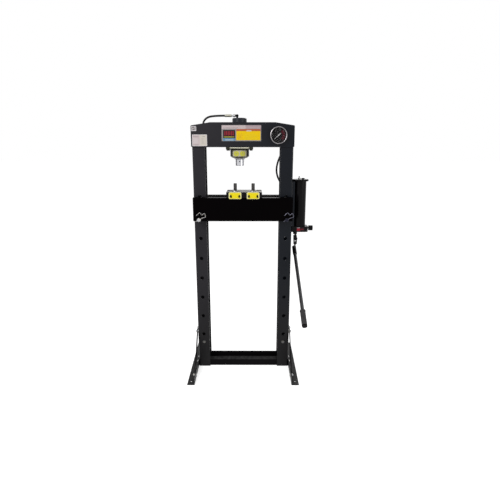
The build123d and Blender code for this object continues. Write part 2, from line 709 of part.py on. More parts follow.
# Spacer tubes between the two channels, beside the posts
spacer_heights = (bed_bottom + 28, BED_TOP - 22)
with BuildPart() as bed_spacers:
    with BuildSketch(facing(bed_outer - BED_WALL)):
        for z in spacer_heights:
            with Locations((-SPACER_X, z), (SPACER_X, z)):
                Circle(11)
                Circle(6.5, mode=Mode.SUBTRACT)
    extrude(amount=BED_DEPTH - 2 * BED_WALL)
save("bed_spacers", bed_spacers.part)

# Arbor plates: a notch in the outer edge and a hole for the lifting peg near the front
with BuildPart() as arbor_plates:
    for side, centre in PLATE_CENTRES.items():
        sign = SIDES[side]
        with BuildSketch(Plane.XY.offset(BED_TOP)):
            with Locations((centre, -bed_outer + PLATE_DEPTH / 2)):
                RectangleRounded(PLATE_WIDTH, PLATE_DEPTH, 4)
            with Locations((centre + sign * PLATE_WIDTH / 2, 0)):
                SlotCenterToCenter(50, 40, mode=Mode.SUBTRACT)
            with Locations((centre, PEG_Y)):
                Circle(8, mode=Mode.SUBTRACT)
        extrude(amount=PLATE_THICKNESS)
        with BuildSketch(facing(-bed_outer)):
            with Locations((centre, BED_TOP + 12)):
                with GridLocations(KEEPER_SCREW_PITCH, 1, 2, 1):
                    Circle(4)
        extrude(amount=-14, mode=Mode.SUBTRACT)
save("arbor_plates", arbor_plates.part)

# Keeper plates on the arbor plates' front edges, lapping over the front channel
with BuildPart() as keeper_plates:
    for centre in PLATE_CENTRES.values():
        with BuildSketch(facing(-bed_outer)):
            with Locations((centre, BED_TOP + PLATE_THICKNESS - KEEPER[1] / 2)):
                RectangleRounded(KEEPER[0], KEEPER[1], 9)
            with Locations((centre, BED_TOP + 12)):
                with GridLocations(KEEPER_SCREW_PITCH, 1, 2, 1):
                    Circle(4, mode=Mode.SUBTRACT)
        extrude(amount=KEEPER[2])
    front_faces = keeper_plates.faces().filter_by(Axis.Y).group_by(Axis.Y)[0]
    chamfer([edge for face in front_faces for edge in face.outer_wire().edges()], 2)
save("keeper_plates", keeper_plates.part)

with BuildPart() as keeper_screws:
    for centre in PLATE_CENTRES.values():
        for offset_x in (-KEEPER_SCREW_PITCH / 2, KEEPER_SCREW_PITCH / 2):
            with BuildSketch(facing(-bed_outer - KEEPER[2])):
                with Locations((centre + offset_x, BED_TOP + 12)):
                    Circle(6.5)
                    RegularPolygon(3, 6, mode=Mode.SUBTRACT)
            extrude(amount=5)
            with BuildSketch(facing(-bed_outer + 13)):
                with Locations((centre + offset_x, BED_TOP + 12)):
                    Circle(4)
            extrude(amount=13 + KEEPER[2])
save("keeper_screws", keeper_screws.part)

plate_top = BED_TOP + PLATE_THICKNESS
pegs = []
for centre in PLATE_CENTRES.values():
    pegs.append(turned("peg", [
        (0, plate_top - 20), (8, plate_top - 20), (8, plate_top), (18, plate_top),
        (18, plate_top + 3), (PEG_RADIUS + 1, plate_top + 8), (PEG_RADIUS - 1, plate_top + 12),
        (PEG_RADIUS, plate_top + 16), (PEG_RADIUS, plate_top + PEG_HEIGHT - 3),
        (PEG_RADIUS - 3, plate_top + PEG_HEIGHT), (0, plate_top + PEG_HEIGHT),
    ], x=centre, y=PEG_Y))
with BuildPart() as lifting_pegs:
    add(pegs)
save("lifting_pegs", lifting_pegs.part)

# Bed pins with a cross hole for the clip's straight leg
clip_direction = (math.cos(math.radians(CLIP_SLOPE)), math.sin(math.radians(CLIP_SLOPE)))
for side, sign in SIDES.items():
    with BuildPart() as pin:
        with BuildSketch(facing(PIN_FRONT + PIN_LENGTH)):
            with Locations((sign * hole_x, pin_height)):
                Circle(PIN_DIAMETER / 2)
        extrude(amount=PIN_LENGTH)
        chamfer(pin.faces().filter_by(Axis.Y).edges(), 2.5)
        with Locations(Location((sign * hole_x, PIN_CLIP_Y, pin_height), (0, 90 - CLIP_SLOPE, 0))):
            Cylinder(CLIP_WIRE / 2 + 0.4, PIN_DIAMETER + 4, mode=Mode.SUBTRACT)
    save(side + "_bed_pin", pin.part)

    start = (-CLIP_LEG * clip_direction[0], -CLIP_LEG * clip_direction[1])
    corners = [start] + CLIP_POINTS
    with BuildPart() as clip:
        with BuildLine() as wire:
            FilletPolyline(
                *[(sign * hole_x + u, PIN_CLIP_Y, pin_height + v) for u, v in corners], radius=4)
        with BuildSketch(Plane(origin=wire.line @ 0, z_dir=wire.line % 0)):
            Circle(CLIP_WIRE / 2)
        sweep(path=wire.line)
    save(side + "_pin_clip", clip.part)

# Pump bracket: a channel section that stands the tank off the post
bracket_x = PUMP_X - TANK_RADIUS
with BuildPart() as pump_bracket:
    with BuildSketch(Plane.XY.offset(BASE_BOTTOM + 6)):
        with Locations(((post_half + bracket_x) / 2, 0)):
            Rectangle(bracket_x - post_half, BRACKET_WIDTH)
        with Locations(((post_half + bracket_x - BRACKET_WALL) / 2, 0)):
            Rectangle(
                bracket_x - post_half - BRACKET_WALL, BRACKET_WIDTH - 2 * BRACKET_WALL,
                mode=Mode.SUBTRACT)
    extrude(amount=TANK_TOP - REST_GAP - BASE_BOTTOM - 6)
    with BuildSketch(Plane.XY.offset(BASE_BOTTOM)):
        with Locations(((post_half + BASE_RIGHT) / 2, 0)):
            Rectangle(BASE_RIGHT - post_half + 2, 120)
    extrude(amount=BASE_TOP - BASE_BOTTOM, mode=Mode.SUBTRACT)
save("pump_bracket", pump_bracket.part)

# Pump base: a casting with the barrel and the lever's lug below it
fulcrum_y, fulcrum_z = FULCRUM
plunger_y = fulcrum_y + PLUNGER_ARM
plunger_pin_z = fulcrum_z + PLUNGER_ARM * math.tan(math.radians(PLUNGER_TILT))
plunger_top = BASE_TOP - 9
with BuildPart() as pump_base:
    with BuildSketch(Plane.XY.offset(BASE_BOTTOM)) as base_outline:
        with Locations(((post_half + BASE_RIGHT) / 2, 0)):
            Rectangle(BASE_RIGHT - post_half, 2 * BASE_HALF_DEPTH)
        fillet(base_outline.vertices().sort_by(Axis.X)[-2:], 24)
        fillet(base_outline.vertices().sort_by(Axis.X)[:2], 6)
    extrude(amount=BASE_TOP - BASE_BOTTOM)
    fillet(pump_base.faces().sort_by(Axis.Z)[-1].edges(), 3)
    with BuildSketch(Plane.XY.offset(BASE_BOTTOM)):
        with Locations((LEVER_X, plunger_y)):
            Circle(15)
    extrude(amount=BARREL_BOTTOM - BASE_BOTTOM)
    with BuildSketch(across(LEVER_X - LUG_THICKNESS / 2)):
        with Locations((fulcrum_y, fulcrum_z)):
            Circle(13)
        with BuildLine():
            Polyline(
                (fulcrum_y - 13, fulcrum_z), (fulcrum_y + 12, fulcrum_z + 4),
                (fulcrum_y + 12, BASE_BOTTOM + 1), (fulcrum_y - 16, BASE_BOTTOM + 1), close=True)
        make_face()
    extrude(amount=LUG_THICKNESS)
    with BuildSketch(across(LEVER_X - LUG_THICKNESS)):
        with Locations((fulcrum_y, fulcrum_z)):
            Circle(5)
    extrude(amount=2 * LUG_THICKNESS, mode=Mode.SUBTRACT)
    with BuildSketch(Plane.XY.offset(BARREL_BOTTOM - 30)):
        with Locations((LEVER_X, plunger_y)):
            Circle(PLUNGER_RADIUS + RUNNING)
    extrude(amount=plunger_top + 4 - BARREL_BOTTOM + 30, mode=Mode.SUBTRACT)
    with BuildSketch(across(BASE_RIGHT + 1)):
        with Locations((0, KNOB_Z)):
            Circle(5 + RUNNING)
    extrude(amount=-22, mode=Mode.SUBTRACT)
save("pump_base", pump_base.part)

# Plunger with a flat eye, at rest at the top of its stroke
with BuildPart() as plunger:
    with BuildSketch(Plane.XY.offset(plunger_pin_z + 5)):
        with Locations((LEVER_X, plunger_y)):
            Circle(PLUNGER_RADIUS)
    extrude(amount=plunger_top - plunger_pin_z - 5)
    with BuildSketch(across(LEVER_X - 5)):
        with Locations((plunger_y, plunger_pin_z)):
            Circle(9.5)
            Circle(4, mode=Mode.SUBTRACT)
    extrude(amount=10)
save("plunger", plunger.part)

cheek_outer = LUG_THICKNESS / 2 + REST_GAP + CHEEK_THICKNESS
with BuildPart() as plunger_pin:
    with BuildSketch(across(LEVER_X - cheek_outer - 1)):
        with Locations((plunger_y, plunger_pin_z)):
            Circle(4)
    extrude(amount=2 * cheek_outer + 2)
save("plunger_pin", plunger_pin.part)

with BuildPart() as lever_pin:
    with BuildSketch(across(LEVER_X - cheek_outer - 2)):
        with Locations((fulcrum_y, fulcrum_z)):
            Circle(5 - RUNNING)
    extrude(amount=2 * cheek_outer + 4)
    with BuildSketch(across(LEVER_X + cheek_outer + REST_GAP)):
        with Locations((fulcrum_y, fulcrum_z)):
            Circle(8)
    extrude(amount=3)
save("lever_pin", lever_pin.part)

# Lever: forked at the fulcrum, slotted round the plunger's pin, with a socket for the handle
drop = math.radians(HANDLE_DROP)
along = (-math.cos(drop), -math.sin(drop))


def on_handle(s):
    """Place on the handle's axis, s along it from its reference point, in Y and Z."""
    return (HANDLE_POINT[0] + s * along[0], HANDLE_POINT[1] + s * along[1])


def handle_plane(s):
    """Plane square to the handle's axis at s."""
    y, z = on_handle(s)
    return Plane(origin=(LEVER_X, y, z), x_dir=(1, 0, 0), z_dir=(0, along[0], along[1]))


tilt = math.radians(PLUNGER_TILT)
pin_far = PLUNGER_ARM / math.cos(tilt)
slot_middle = (PLUNGER_ARM + pin_far) / 2
slot_y = fulcrum_y + slot_middle * math.cos(tilt)
slot_z = fulcrum_z + slot_middle * math.sin(tilt)
socket_rear = on_handle(-SOCKET_BACK + 18)
socket_mid = on_handle(-SOCKET_BACK + 52)
with BuildPart() as lever:
    with BuildSketch(across(LEVER_X - cheek_outer)) as cheek:
        with BuildLine():
            Polyline(
                (fulcrum_y - 14, fulcrum_z), (fulcrum_y - 8, fulcrum_z + 12),
                (slot_y - 6, slot_z + 11), (slot_y + 8, slot_z + 9), (slot_y + 14, slot_z - 4),
                (fulcrum_y + 30, fulcrum_z - 12), (fulcrum_y + 24, fulcrum_z - 42),
                (fulcrum_y - 6, fulcrum_z - 42), (fulcrum_y - 14, fulcrum_z - 22), close=True)
        make_face()
        fillet(cheek.vertices(), 4)
    extrude(amount=2 * cheek_outer)
    with BuildSketch(across(LEVER_X - 5)):
        with BuildLine():
            Polyline(
                (fulcrum_y - 6, fulcrum_z - 30), (fulcrum_y + 24, fulcrum_z - 30),
                socket_rear, socket_mid, close=True)
        make_face()
    extrude(amount=10)
    with BuildSketch(handle_plane(-SOCKET_BACK)):
        Circle(SOCKET_RADIUS)
    extrude(amount=SOCKET_BACK + SOCKET_FRONT)
    with BuildSketch(handle_plane(-SOCKET_BACK + 6)):
        Circle(HANDLE_RADIUS)
    extrude(amount=SOCKET_BACK + SOCKET_FRONT, mode=Mode.SUBTRACT)
    with BuildSketch(across(LEVER_X - LUG_THICKNESS / 2 - REST_GAP)):
        with Locations((fulcrum_y + 6, fulcrum_z + 14)):
            Rectangle(90, 72)
    extrude(amount=LUG_THICKNESS + 2 * REST_GAP, mode=Mode.SUBTRACT)
    with BuildSketch(across(LEVER_X - 2 * cheek_outer)):
        with Locations((fulcrum_y, fulcrum_z)):
            Circle(5)
        with Locations(Location((slot_y, slot_z, 0), (0, 0, PLUNGER_TILT))):
            SlotCenterToCenter(pin_far - PLUNGER_ARM + 1.2, 9.4)
    extrude(amount=4 * cheek_outer, mode=Mode.SUBTRACT)
save("lever", lever.part)

with BuildPart() as handle_tube:
    with BuildSketch(handle_plane(-SOCKET_BACK + 6)):
        Circle(HANDLE_RADIUS)
        Circle(HANDLE_RADIUS - HANDLE_WALL, mode=Mode.SUBTRACT)
    extrude(amount=SOCKET_BACK - 6 + GRIP_END - 3)
save("handle_tube", handle_tube.part)

# Grip with a collar and flutes along it
with BuildPart() as handle_grip:
    with BuildSketch(handle_plane(GRIP_START)):
        Circle(GRIP_RADIUS + 1.5)
        Circle(HANDLE_RADIUS, mode=Mode.SUBTRACT)
    extrude(amount=6)
    with BuildSketch(handle_plane(GRIP_START + 6)):
        Circle(GRIP_RADIUS)
        with PolarLocations(GRIP_RADIUS + 1.2, 14):
            Circle(2.4, mode=Mode.SUBTRACT)
        Circle(HANDLE_RADIUS, mode=Mode.SUBTRACT)
    extrude(amount=GRIP_END - GRIP_START - 6)
save("handle_grip", handle_grip.part)

with BuildPart() as handle_cap:
    with BuildSketch(handle_plane(GRIP_END)):
        Circle(GRIP_RADIUS)
    extrude(amount=CAP_END - GRIP_END)
    fillet(handle_cap.faces().sort_by(Axis.Y)[0].edges(), 3)
save("handle_cap", handle_cap.part)

# Tank with its lid, the tie rod's nut and the filler plug
save("oil_tank", turned("oil_tank", [
    (TANK_RADIUS - TANK_WALL, BASE_TOP), (TANK_RADIUS, BASE_TOP), (TANK_RADIUS, TANK_TOP),
    (TANK_RADIUS - TANK_WALL, TANK_TOP),
], x=PUMP_X))
lid_top = TANK_TOP + LID_HEIGHT
save("tank_lid", turned("tank_lid", [
    (0, TANK_TOP), (LID_RADIUS - 2, TANK_TOP), (LID_RADIUS, TANK_TOP + 2),
    (LID_RADIUS, lid_top - 4), (LID_RADIUS - 4, lid_top), (0, lid_top),
], x=PUMP_X))
with BuildPart() as tie_rod_nut:
    with BuildSketch(Plane.XY.offset(lid_top)):
        with Locations((PUMP_X - 9, 0)):
            RegularPolygon(8, 6, major_radius=False)
    extrude(amount=9)
    with BuildSketch(Plane.XY.offset(lid_top + 9)):
        with Locations((PUMP_X - 9, 0)):
            Circle(5)
    extrude(amount=12)
save("tie_rod_nut", tie_rod_nut.part)
with BuildPart() as filler_plug:
    with BuildSketch(Plane.XY.offset(lid_top)):
        with Locations((PUMP_X + 18, 0)):
            RegularPolygon(10, 6, major_radius=False)
    extrude(amount=8)
    chamfer(filler_plug.faces().sort_by(Axis.Z)[-1].edges(), 1.5)
save("filler_plug", filler_plug.part)

# Release valve: a fluted knob moulded on its spindle
with BuildPart() as release_knob:
    with BuildSketch(across(BASE_RIGHT - 20)):
        with Locations((0, KNOB_Z)):
            Circle(5)
    extrude(amount=30)
    with BuildSketch(across(BASE_RIGHT + 7)):
        with Locations((0, KNOB_Z)):
            Circle(KNOB_RADIUS)
            with PolarLocations(KNOB_RADIUS + 1.5, 12):
                Circle(3.2, mode=Mode.SUBTRACT)
    extrude(amount=KNOB_LENGTH)
    chamfer(release_knob.faces().sort_by(Axis.X)[-1].edges(), 1)
save("release_knob", release_knob.part)

# Elbows on the cylinder's neck and behind the pump's base
with BuildPart() as hose_elbows:
    with BuildSketch(Plane.XY.offset(NECK_TOP)):
        with Locations((PORT_X, 0)):
            RegularPolygon(9, 6, major_radius=False)
    extrude(amount=6)
    with BuildSketch(Plane.XY.offset(NECK_TOP + 6)):
        with Locations((PORT_X, 0)):
            Circle(7)
    extrude(amount=HOSE_HEIGHT - NECK_TOP - 6)
    with Locations((PORT_X, 0, HOSE_HEIGHT), (PORT_BEND[0], PORT_BEND[1], PORT_Z)):
        Sphere(ELBOW_RADIUS + 2)
    with BuildSketch(across(PORT_X)):
        with Locations((0, HOSE_HEIGHT)):
            Circle(ELBOW_RADIUS)
    extrude(amount=-ELBOW_REACH)
    with BuildSketch(facing(PORT_BEND[1])):
        with Locations((PORT_BEND[0], PORT_Z)):
            Circle(ELBOW_RADIUS)
    extrude(amount=PORT_BEND[1] - BASE_HALF_DEPTH)
    with BuildSketch(facing(BASE_HALF_DEPTH + 9)):
        with Locations((PORT_BEND[0], PORT_Z)):
            RegularPolygon(10, 6, major_radius=False)
    extrude(amount=9)
    with BuildSketch(Plane.XY.offset(PORT_Z)):
        with Locations(PORT_BEND):
            Circle(ELBOW_RADIUS)
    extrude(amount=ELBOW_REACH)
save("hose_elbows", hose_elbows.part)

# Hose ends: a union nut, a short neck and a crimped sleeve that meets the hose
hose_radius = HOSE_DIAMETER / 2
hose_start = HOSE_ROUTE[0]
hose_finish = HOSE_ROUTE[-1]
upper_seat = Plane(origin=(PORT_X - ELBOW_REACH, 0, HOSE_HEIGHT), z_dir=(-1, 0, 0))
lower_seat = Plane(origin=(PORT_BEND[0], PORT_BEND[1], PORT_Z + ELBOW_REACH), z_dir=(0, 0, 1))
end_lengths = (PORT_X - ELBOW_REACH - hose_start[0], hose_finish[2] - PORT_Z - ELBOW_REACH)
with BuildPart() as hose_ends:
    for seat, length in zip((upper_seat, lower_seat), end_lengths):
        with BuildSketch(seat):
            RegularPolygon(9, 6, major_radius=False)
        extrude(amount=UNION_NUT)
        with BuildSketch(seat.offset(UNION_NUT)):
            Circle(6)
        extrude(amount=UNION_NECK)
        with BuildSketch(seat.offset(UNION_NUT + UNION_NECK)):
            Circle(hose_radius + 1.5)
        extrude(amount=length - UNION_NUT - UNION_NECK)
save("hose_ends", hose_ends.part)

# Hose: straight runs joined by arcs as large as the runs allow
points = [Vector(*p) for p in HOSE_ROUTE]
runs = [(b - a).length for a, b in zip(points, points[1:])]
turns = [(b - a).get_angle(c - b) for a, b, c in zip(points, points[1:], points[2:])]
radii = [
    0.45 * min(before, after) / math.tan(math.radians(turn) / 2)
    for before, after, turn in zip(runs, runs[1:], turns)
]
with BuildPart() as hose:
    with BuildLine() as hose_path:
        FilletPolyline(*points, radius=radii)
    with BuildSketch(Plane(origin=hose_path.line @ 0, z_dir=hose_path.line % 0)):
        Circle(hose_radius)
    sweep(path=hose_path.line)
save("hose", hose.part)
hose_length = hose_path.wires()[0].length
print("hose runs", [round(r) for r in runs])
print("hose turns", [round(t) for t in turns])
print("hose radii", [round(r) for r in radii])
print("hose length", round(hose_length))
print("hose volume", round(hose.part.volume), "section by length",
      round(math.pi * hose_radius ** 2 * hose_length))
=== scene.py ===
import math

import bmesh
import bpy
from bpy.props import FloatProperty, FloatVectorProperty, PointerProperty
from mathutils import Matrix, Vector


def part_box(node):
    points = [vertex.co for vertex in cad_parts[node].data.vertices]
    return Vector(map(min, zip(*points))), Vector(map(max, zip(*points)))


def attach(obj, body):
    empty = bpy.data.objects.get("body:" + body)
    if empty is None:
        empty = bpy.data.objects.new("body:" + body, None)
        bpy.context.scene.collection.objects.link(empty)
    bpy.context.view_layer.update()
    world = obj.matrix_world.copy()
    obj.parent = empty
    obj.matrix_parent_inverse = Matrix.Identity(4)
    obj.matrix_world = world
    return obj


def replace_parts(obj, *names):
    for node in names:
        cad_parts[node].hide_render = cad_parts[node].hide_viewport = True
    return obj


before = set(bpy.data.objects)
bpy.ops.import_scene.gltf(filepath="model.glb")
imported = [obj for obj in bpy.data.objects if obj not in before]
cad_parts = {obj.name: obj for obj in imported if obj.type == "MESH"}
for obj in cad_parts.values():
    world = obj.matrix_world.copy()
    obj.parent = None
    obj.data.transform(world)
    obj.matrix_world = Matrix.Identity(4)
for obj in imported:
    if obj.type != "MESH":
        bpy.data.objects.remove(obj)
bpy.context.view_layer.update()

bl_info = {
    "name": "Workshop press",
    "version": (1, 0, 0),
    "blender": (4, 5, 0),
    "location": "View3D > Sidebar > Press",
    "description": "Finishes, labels, dial, hose and fasteners of an H-frame workshop press",
    "category": "Add Mesh",
}

MM = 0.001
FULL_TURN = 2 * math.pi
CREASE_ANGLE = math.radians(32)

# Paint: the noise scale of orange peel, where painted shade darkens the coat to the right and towards
# the floor, the tone of a dusting and of painted sky reflection on upward faces, the tone of enamel
# worn thin, and the depth of the plates' ground tops
PEEL_SCALE = 620.0
RIGHT_SHADE_SPAN = (-0.40, 0.42)
FLOOR_SHADE_SPAN = (0.05, 0.95)
DUST_AND_REFLECTION_TONE = (0.30, 0.29, 0.28)
THIN_YELLOW = (0.75, 0.72, 0.62)
GROUND_DEPTH = 0.6 * MM

# Bolts, nuts and washers
NUT_ACROSS = 19 * MM
NUT_HEIGHT = 6.2 * MM
NUT_CHAMFER = 1.3 * MM
WASHER_RADIUS = 12 * MM
BOLT_RADIUS = 6 * MM
BOLT_END = 3 * MM
TIE_ROD_RADIUS = 5.4 * MM
TIE_ROD_NUT_TOP = 8.5 * MM
THREAD_ROOT = 0.86
SLEEVE_WALL = 1.4 * MM
RIB_PITCH = 6 * MM
RIB_HEIGHT = 1 * MM

# Dial: angles from the right-hand side, rings as shares of the dial's radius
DIAL_START = math.radians(220)
DIAL_SWEEP = math.radians(270)
DIAL_INK = 0.12 * MM
DIAL_TICKS = 60
DIAL_NUMBERS = 6
LONG_TICK = (5.0 * MM, 0.8 * MM)
SHORT_TICK = (2.6 * MM, 0.35 * MM)
NUMERAL_SIZE = 6.5 * MM
TICK_RING = 0.74
NUMBER_RING = 0.82
BAND_RING = (0.50, 0.86)
BAND_START = 0.61

# Welds
BEAD_STEP = 1.1 * MM
BRACKET_BEAD = 90 * MM

# Lamps: name, place, target, size and power
LAMPS = (
    ("key", (-1.5, -1.9, 2.8), (-0.1, 0, 1.3), 1.3, 46),
    ("fill", (2.6, -2.0, 2.0), (0.1, 0, 1.2), 2.0, 22),
    ("rim", (0.6, 2.6, 3.0), (0, 0, 1.4), 1.8, 30),
)

# The hose's route from the cylinder to the pump, in millimetres
HOSE_ROUTE = [
    (-126, 0, 1911), (-196, 0, 1911), (-260, 34, 1902), (-296, 96, 1864), (-284, 146, 1806),
    (-226, 160, 1758), (-134, 156, 1732), (-20, 148, 1740), (92, 141, 1770), (156, 137, 1793),
    (206, 134, 1801), (254, 131, 1786), (288, 128, 1746), (296, 126, 1694), (280, 125, 1642),
    (258, 125, 1590), (248, 127, 1536), (256, 129, 1486), (282, 133, 1436), (316, 137, 1386),
    (354, 138, 1338), (386, 130, 1290), (408, 112, 1246), (418, 96, 1200), (418, 96, 1158),
]

# Inks of the labels, each with a colour of its own in PressFinishes
INKS = (
    "white", "silver", "pink", "mauve", "beige", "straw", "grey", "black", "red", "blue", "yellow",
    "orange", "olive",
)


def colour(name, description, default):
    return FloatVectorProperty(
        name=name, description=description, subtype="COLOR", size=3, min=0, max=1, default=default)


def length(name, description, default):
    return FloatProperty(name=name, description=description, unit="LENGTH", min=0, default=default)


class PressFinishes(bpy.types.PropertyGroup):
    """Colours of the press's finishes."""

    frame_paint: colour("Frame paint", "Powder coat on the head and posts", (0.0148, 0.0136, 0.0165))
    # Painted shade: the frame's coat turns darker and bluer towards the press's right, on the pump's
    # side.
    frame_far: colour("Frame paint, far", "The coat on the pump's side", (0.0022, 0.0038, 0.0072))
    # Painted shade: the frame's coat darkens to this tone near the floor.
    frame_low: colour("Frame paint, low", "The coat near the floor", (0.0040, 0.0035, 0.0042))
    # The feet's coat: their own greyer paint, made lighter still as a painted reflection of the sky.
    foot_paint: colour("Foot paint", "Greyed coat on the feet", (0.0130, 0.0130, 0.0140))
    # Painted shade: the rails and braces take a coat darker than the frame's, as the shade near the
    # floor.
    base_paint: colour("Base paint", "Scuffed coat on rails and braces", (0.0048, 0.0042, 0.0050))
    bed_paint: colour("Bed paint", "Darker enamel on the bed", (0.0012, 0.0008, 0.0010))
    pump_paint: colour("Pump paint", "Gloss enamel on the pump", (0.0024, 0.0020, 0.0024))
    zinc: colour("Zinc", "Bright zinc on the left pin, bolts and hose ends", (0.50, 0.51, 0.54))
    tie: colour("Tie bolts", "Dulled zinc on the bolts through the posts", (0.115, 0.115, 0.118))
    sleeve: colour("Hose sleeve", "Yellowish zinc on the hose's sleeves", (0.42, 0.42, 0.36))
    wire: colour("Clip wire", "Dull zinc on the left clip and the collars", (0.27, 0.27, 0.28))
    # Painted shade: the right clip and pin are the left ones' zinc, made darker and bluer.
    blued: colour("Blued wire", "Blue-grey plate on the right clip", (0.105, 0.105, 0.135))
    blued_pin: colour("Blued pin", "Blue-black plate on the right pin", (0.022, 0.022, 0.034))
    steel: colour("Steel", "Turned steel of piston, spring and pipe", (0.24, 0.24, 0.25))
    chrome: colour("Chrome", "Hard chrome on the ram and its saddle", (0.60, 0.60, 0.63))
    rim: colour("Rim", "Polished rim of the gauge", (0.215, 0.205, 0.21))
    brass: colour("Brass", "Gauge stem", (0.62, 0.42, 0.16))
    keeper_yellow: colour("Keeper yellow", "Enamel on the keeper plates", (0.80, 0.66, 0.008))
    # Painted highlight: the pale border of the keeper plates.
    keeper_border: colour("Keeper border", "Pale edges of the keeper plates", (0.72, 0.71, 0.36))
    flange_paint: colour("Flange paint", "Olive-black coat of the flange", (0.013, 0.014, 0.006))
    # The flange's band is bare metal, painted pale also as a highlight.
    bare_band: colour("Bare band", "Machined edge of the mounting flange", (0.80, 0.78, 0.62))
    cylinder_paint: colour("Cylinder paint", "Brown-black coat", (0.0090, 0.0075, 0.0060))
    cylinder_lip: colour("Cylinder lip", "Worn lower edge of the cylinder", (0.16, 0.15, 0.11))
    nut_paint: colour("Ring nut paint", "Blue-black coat", (0.0120, 0.0150, 0.0210))
    peg: colour("Peg", "Blackened steel of the lifting pegs", (0.060, 0.058, 0.056))
    lip: colour("Gland lip", "Bright nose of the gland", (0.52, 0.51, 0.52))
    forged: colour("Forged black", "Scale on plates and screws", (0.0030, 0.0025, 0.0028))
    ground: colour("Ground steel", "Plate tops, dulled by use", (0.105, 0.102, 0.092))
    handle: colour("Handle", "Drawn tube of the handle, lightly oiled", (0.072, 0.072, 0.075))
    rubber: colour("Rubber", "Hose and seals", (0.006, 0.006, 0.0065))
    grip: colour("Grip", "Fluted rubber grip, greyed by use", (0.038, 0.037, 0.038))
    plastic: colour("Plastic", "Knob, plug, gauge case and elbows", (0.004, 0.004, 0.0045))
    dial_black: colour("Dial black", "Printed dial face", (0.0030, 0.0025, 0.0030))
    dial_mark: colour("Dial marks", "Ticks and numbers", (0.10, 0.095, 0.095))
    dial_pointer: colour("Pointer", "Lacquered pointer", (0.52, 0.52, 0.52))
    dial_red: colour("Dial red", "High-pressure band on the dial", (0.065, 0.005, 0.011))
    label_white: colour("Label white", "Ground of the small labels", (0.64, 0.61, 0.62))
    label_silver: colour("Label silver", "Ground of the large label", (0.25, 0.235, 0.235))
    label_pink: colour("Label pink", "Header and table fields", (0.50, 0.42, 0.42))
    label_mauve: colour("Label mauve", "Header's darker end", (0.35, 0.26, 0.28))
    label_beige: colour("Label beige", "Table field's right side", (0.54, 0.50, 0.44))
    label_straw: colour("Label straw", "Ground of the cylinder's label", (0.48, 0.45, 0.30))
    label_grey: colour("Label grey", "Rows of small marks", (0.22, 0.20, 0.21))
    label_black: colour("Label black", "Square field", (0.018, 0.006, 0.008))
    label_red: colour("Label red", "Bars in the square field", (0.30, 0.020, 0.034))
    label_blue: colour("Label blue", "Strip under the square field", (0.11, 0.24, 0.36))
    label_yellow: colour("Label yellow", "Large panel", (0.76, 0.51, 0.002))
    label_orange: colour("Label orange", "Band over the large panel", (0.40, 0.11, 0.05))
    label_olive: colour("Label olive", "Spots on the cylinder's label", (0.50, 0.48, 0.06))


class PressSizes(bpy.types.PropertyGroup):
    """Sizes of the pieces that are added to the frame."""

    hose_diameter: length("Hose diameter", "Outer diameter of the pressure hose", 14 * MM)
    hose_length: length("Hose length", "Length from fitting to fitting", 1557 * MM)
    edge_radius: length("Edge radius", "Rounding of painted steel edges", 1.0 * MM)
    label_thickness: length("Label thickness", "Thickness of the vinyl labels", 0.25 * MM)
    thread_pitch: length("Thread pitch", "Pitch of the frame bolts", 1.75 * MM)
    upper_sleeve: length("Upper sleeve", "Crimped sleeve at the cylinder's end", 48 * MM)
    lower_sleeve: length("Lower sleeve", "Crimped sleeve at the pump's end", 14 * MM)
    washer_thickness: length("Washer thickness", "Washers under heads and nuts", 1.6 * MM)
    weld_radius: length("Weld radius", "Radius of the weld beads", 2.6 * MM)


class StageSettings(bpy.types.PropertyGroup):
    """Camera, floor and sky."""

    camera_place: FloatVectorProperty(
        name="Camera place", description="Where the camera stands", subtype="TRANSLATION",
        unit="LENGTH", size=3, default=(0.05675, -2.95996, 1.67255))
    camera_pitch: FloatProperty(
        name="Camera pitch", description="Tilt from looking straight down", unit="ROTATION",
        subtype="ANGLE", default=math.radians(76.11))
    camera_turn: FloatProperty(
        name="Camera turn", description="Turn about the vertical", unit="ROTATION",
        subtype="ANGLE", default=math.radians(0.12))
    lens: FloatProperty(
        name="Lens", description="Focal length on a 36 mm sensor", unit="CAMERA", default=28.91)
    floor_colour: colour("Floor", "Pale floor", (0.80, 0.80, 0.80))
    floor_glow: FloatProperty(
        name="Floor glow", description="What the camera adds to the floor's own light", default=0.66)
    sky: FloatProperty(name="Sky", description="Strength of the even light", default=0.50)


class Wire:
    """An output of a node, whose arithmetic adds Math nodes."""

    def __init__(self, nodes, socket):
        self.nodes = nodes
        self.socket = socket

    def math(self, operation, first, second=0.0):
        return self.nodes.node("ShaderNodeMath", {"operation": operation}, {0: first, 1: second})

    def __add__(self, other):
        return self.math("ADD", self, other)

    def __sub__(self, other):
        return self.math("SUBTRACT", self, other)

    def __rsub__(self, other):
        return self.math("SUBTRACT", other, self)

    def __mul__(self, other):
        return self.math("MULTIPLY", self, other)

    __radd__ = __add__
    __rmul__ = __mul__

    def sine(self):
        return self.math("SINE", self)

    def size(self):
        return self.math("ABSOLUTE", self)

    def least(self, other):
        return self.math("MINIMUM", self, other)

    def most(self, other):
        return self.math("MAXIMUM", self, other)

    def between(self, low, high):
        """Rises smoothly from 0 at low to 1 at high."""
        return self.nodes.node(
            "ShaderNodeMapRange", {"interpolation_type": "SMOOTHSTEP"},
            {"Value": self, "From Min": low, "From Max": high})


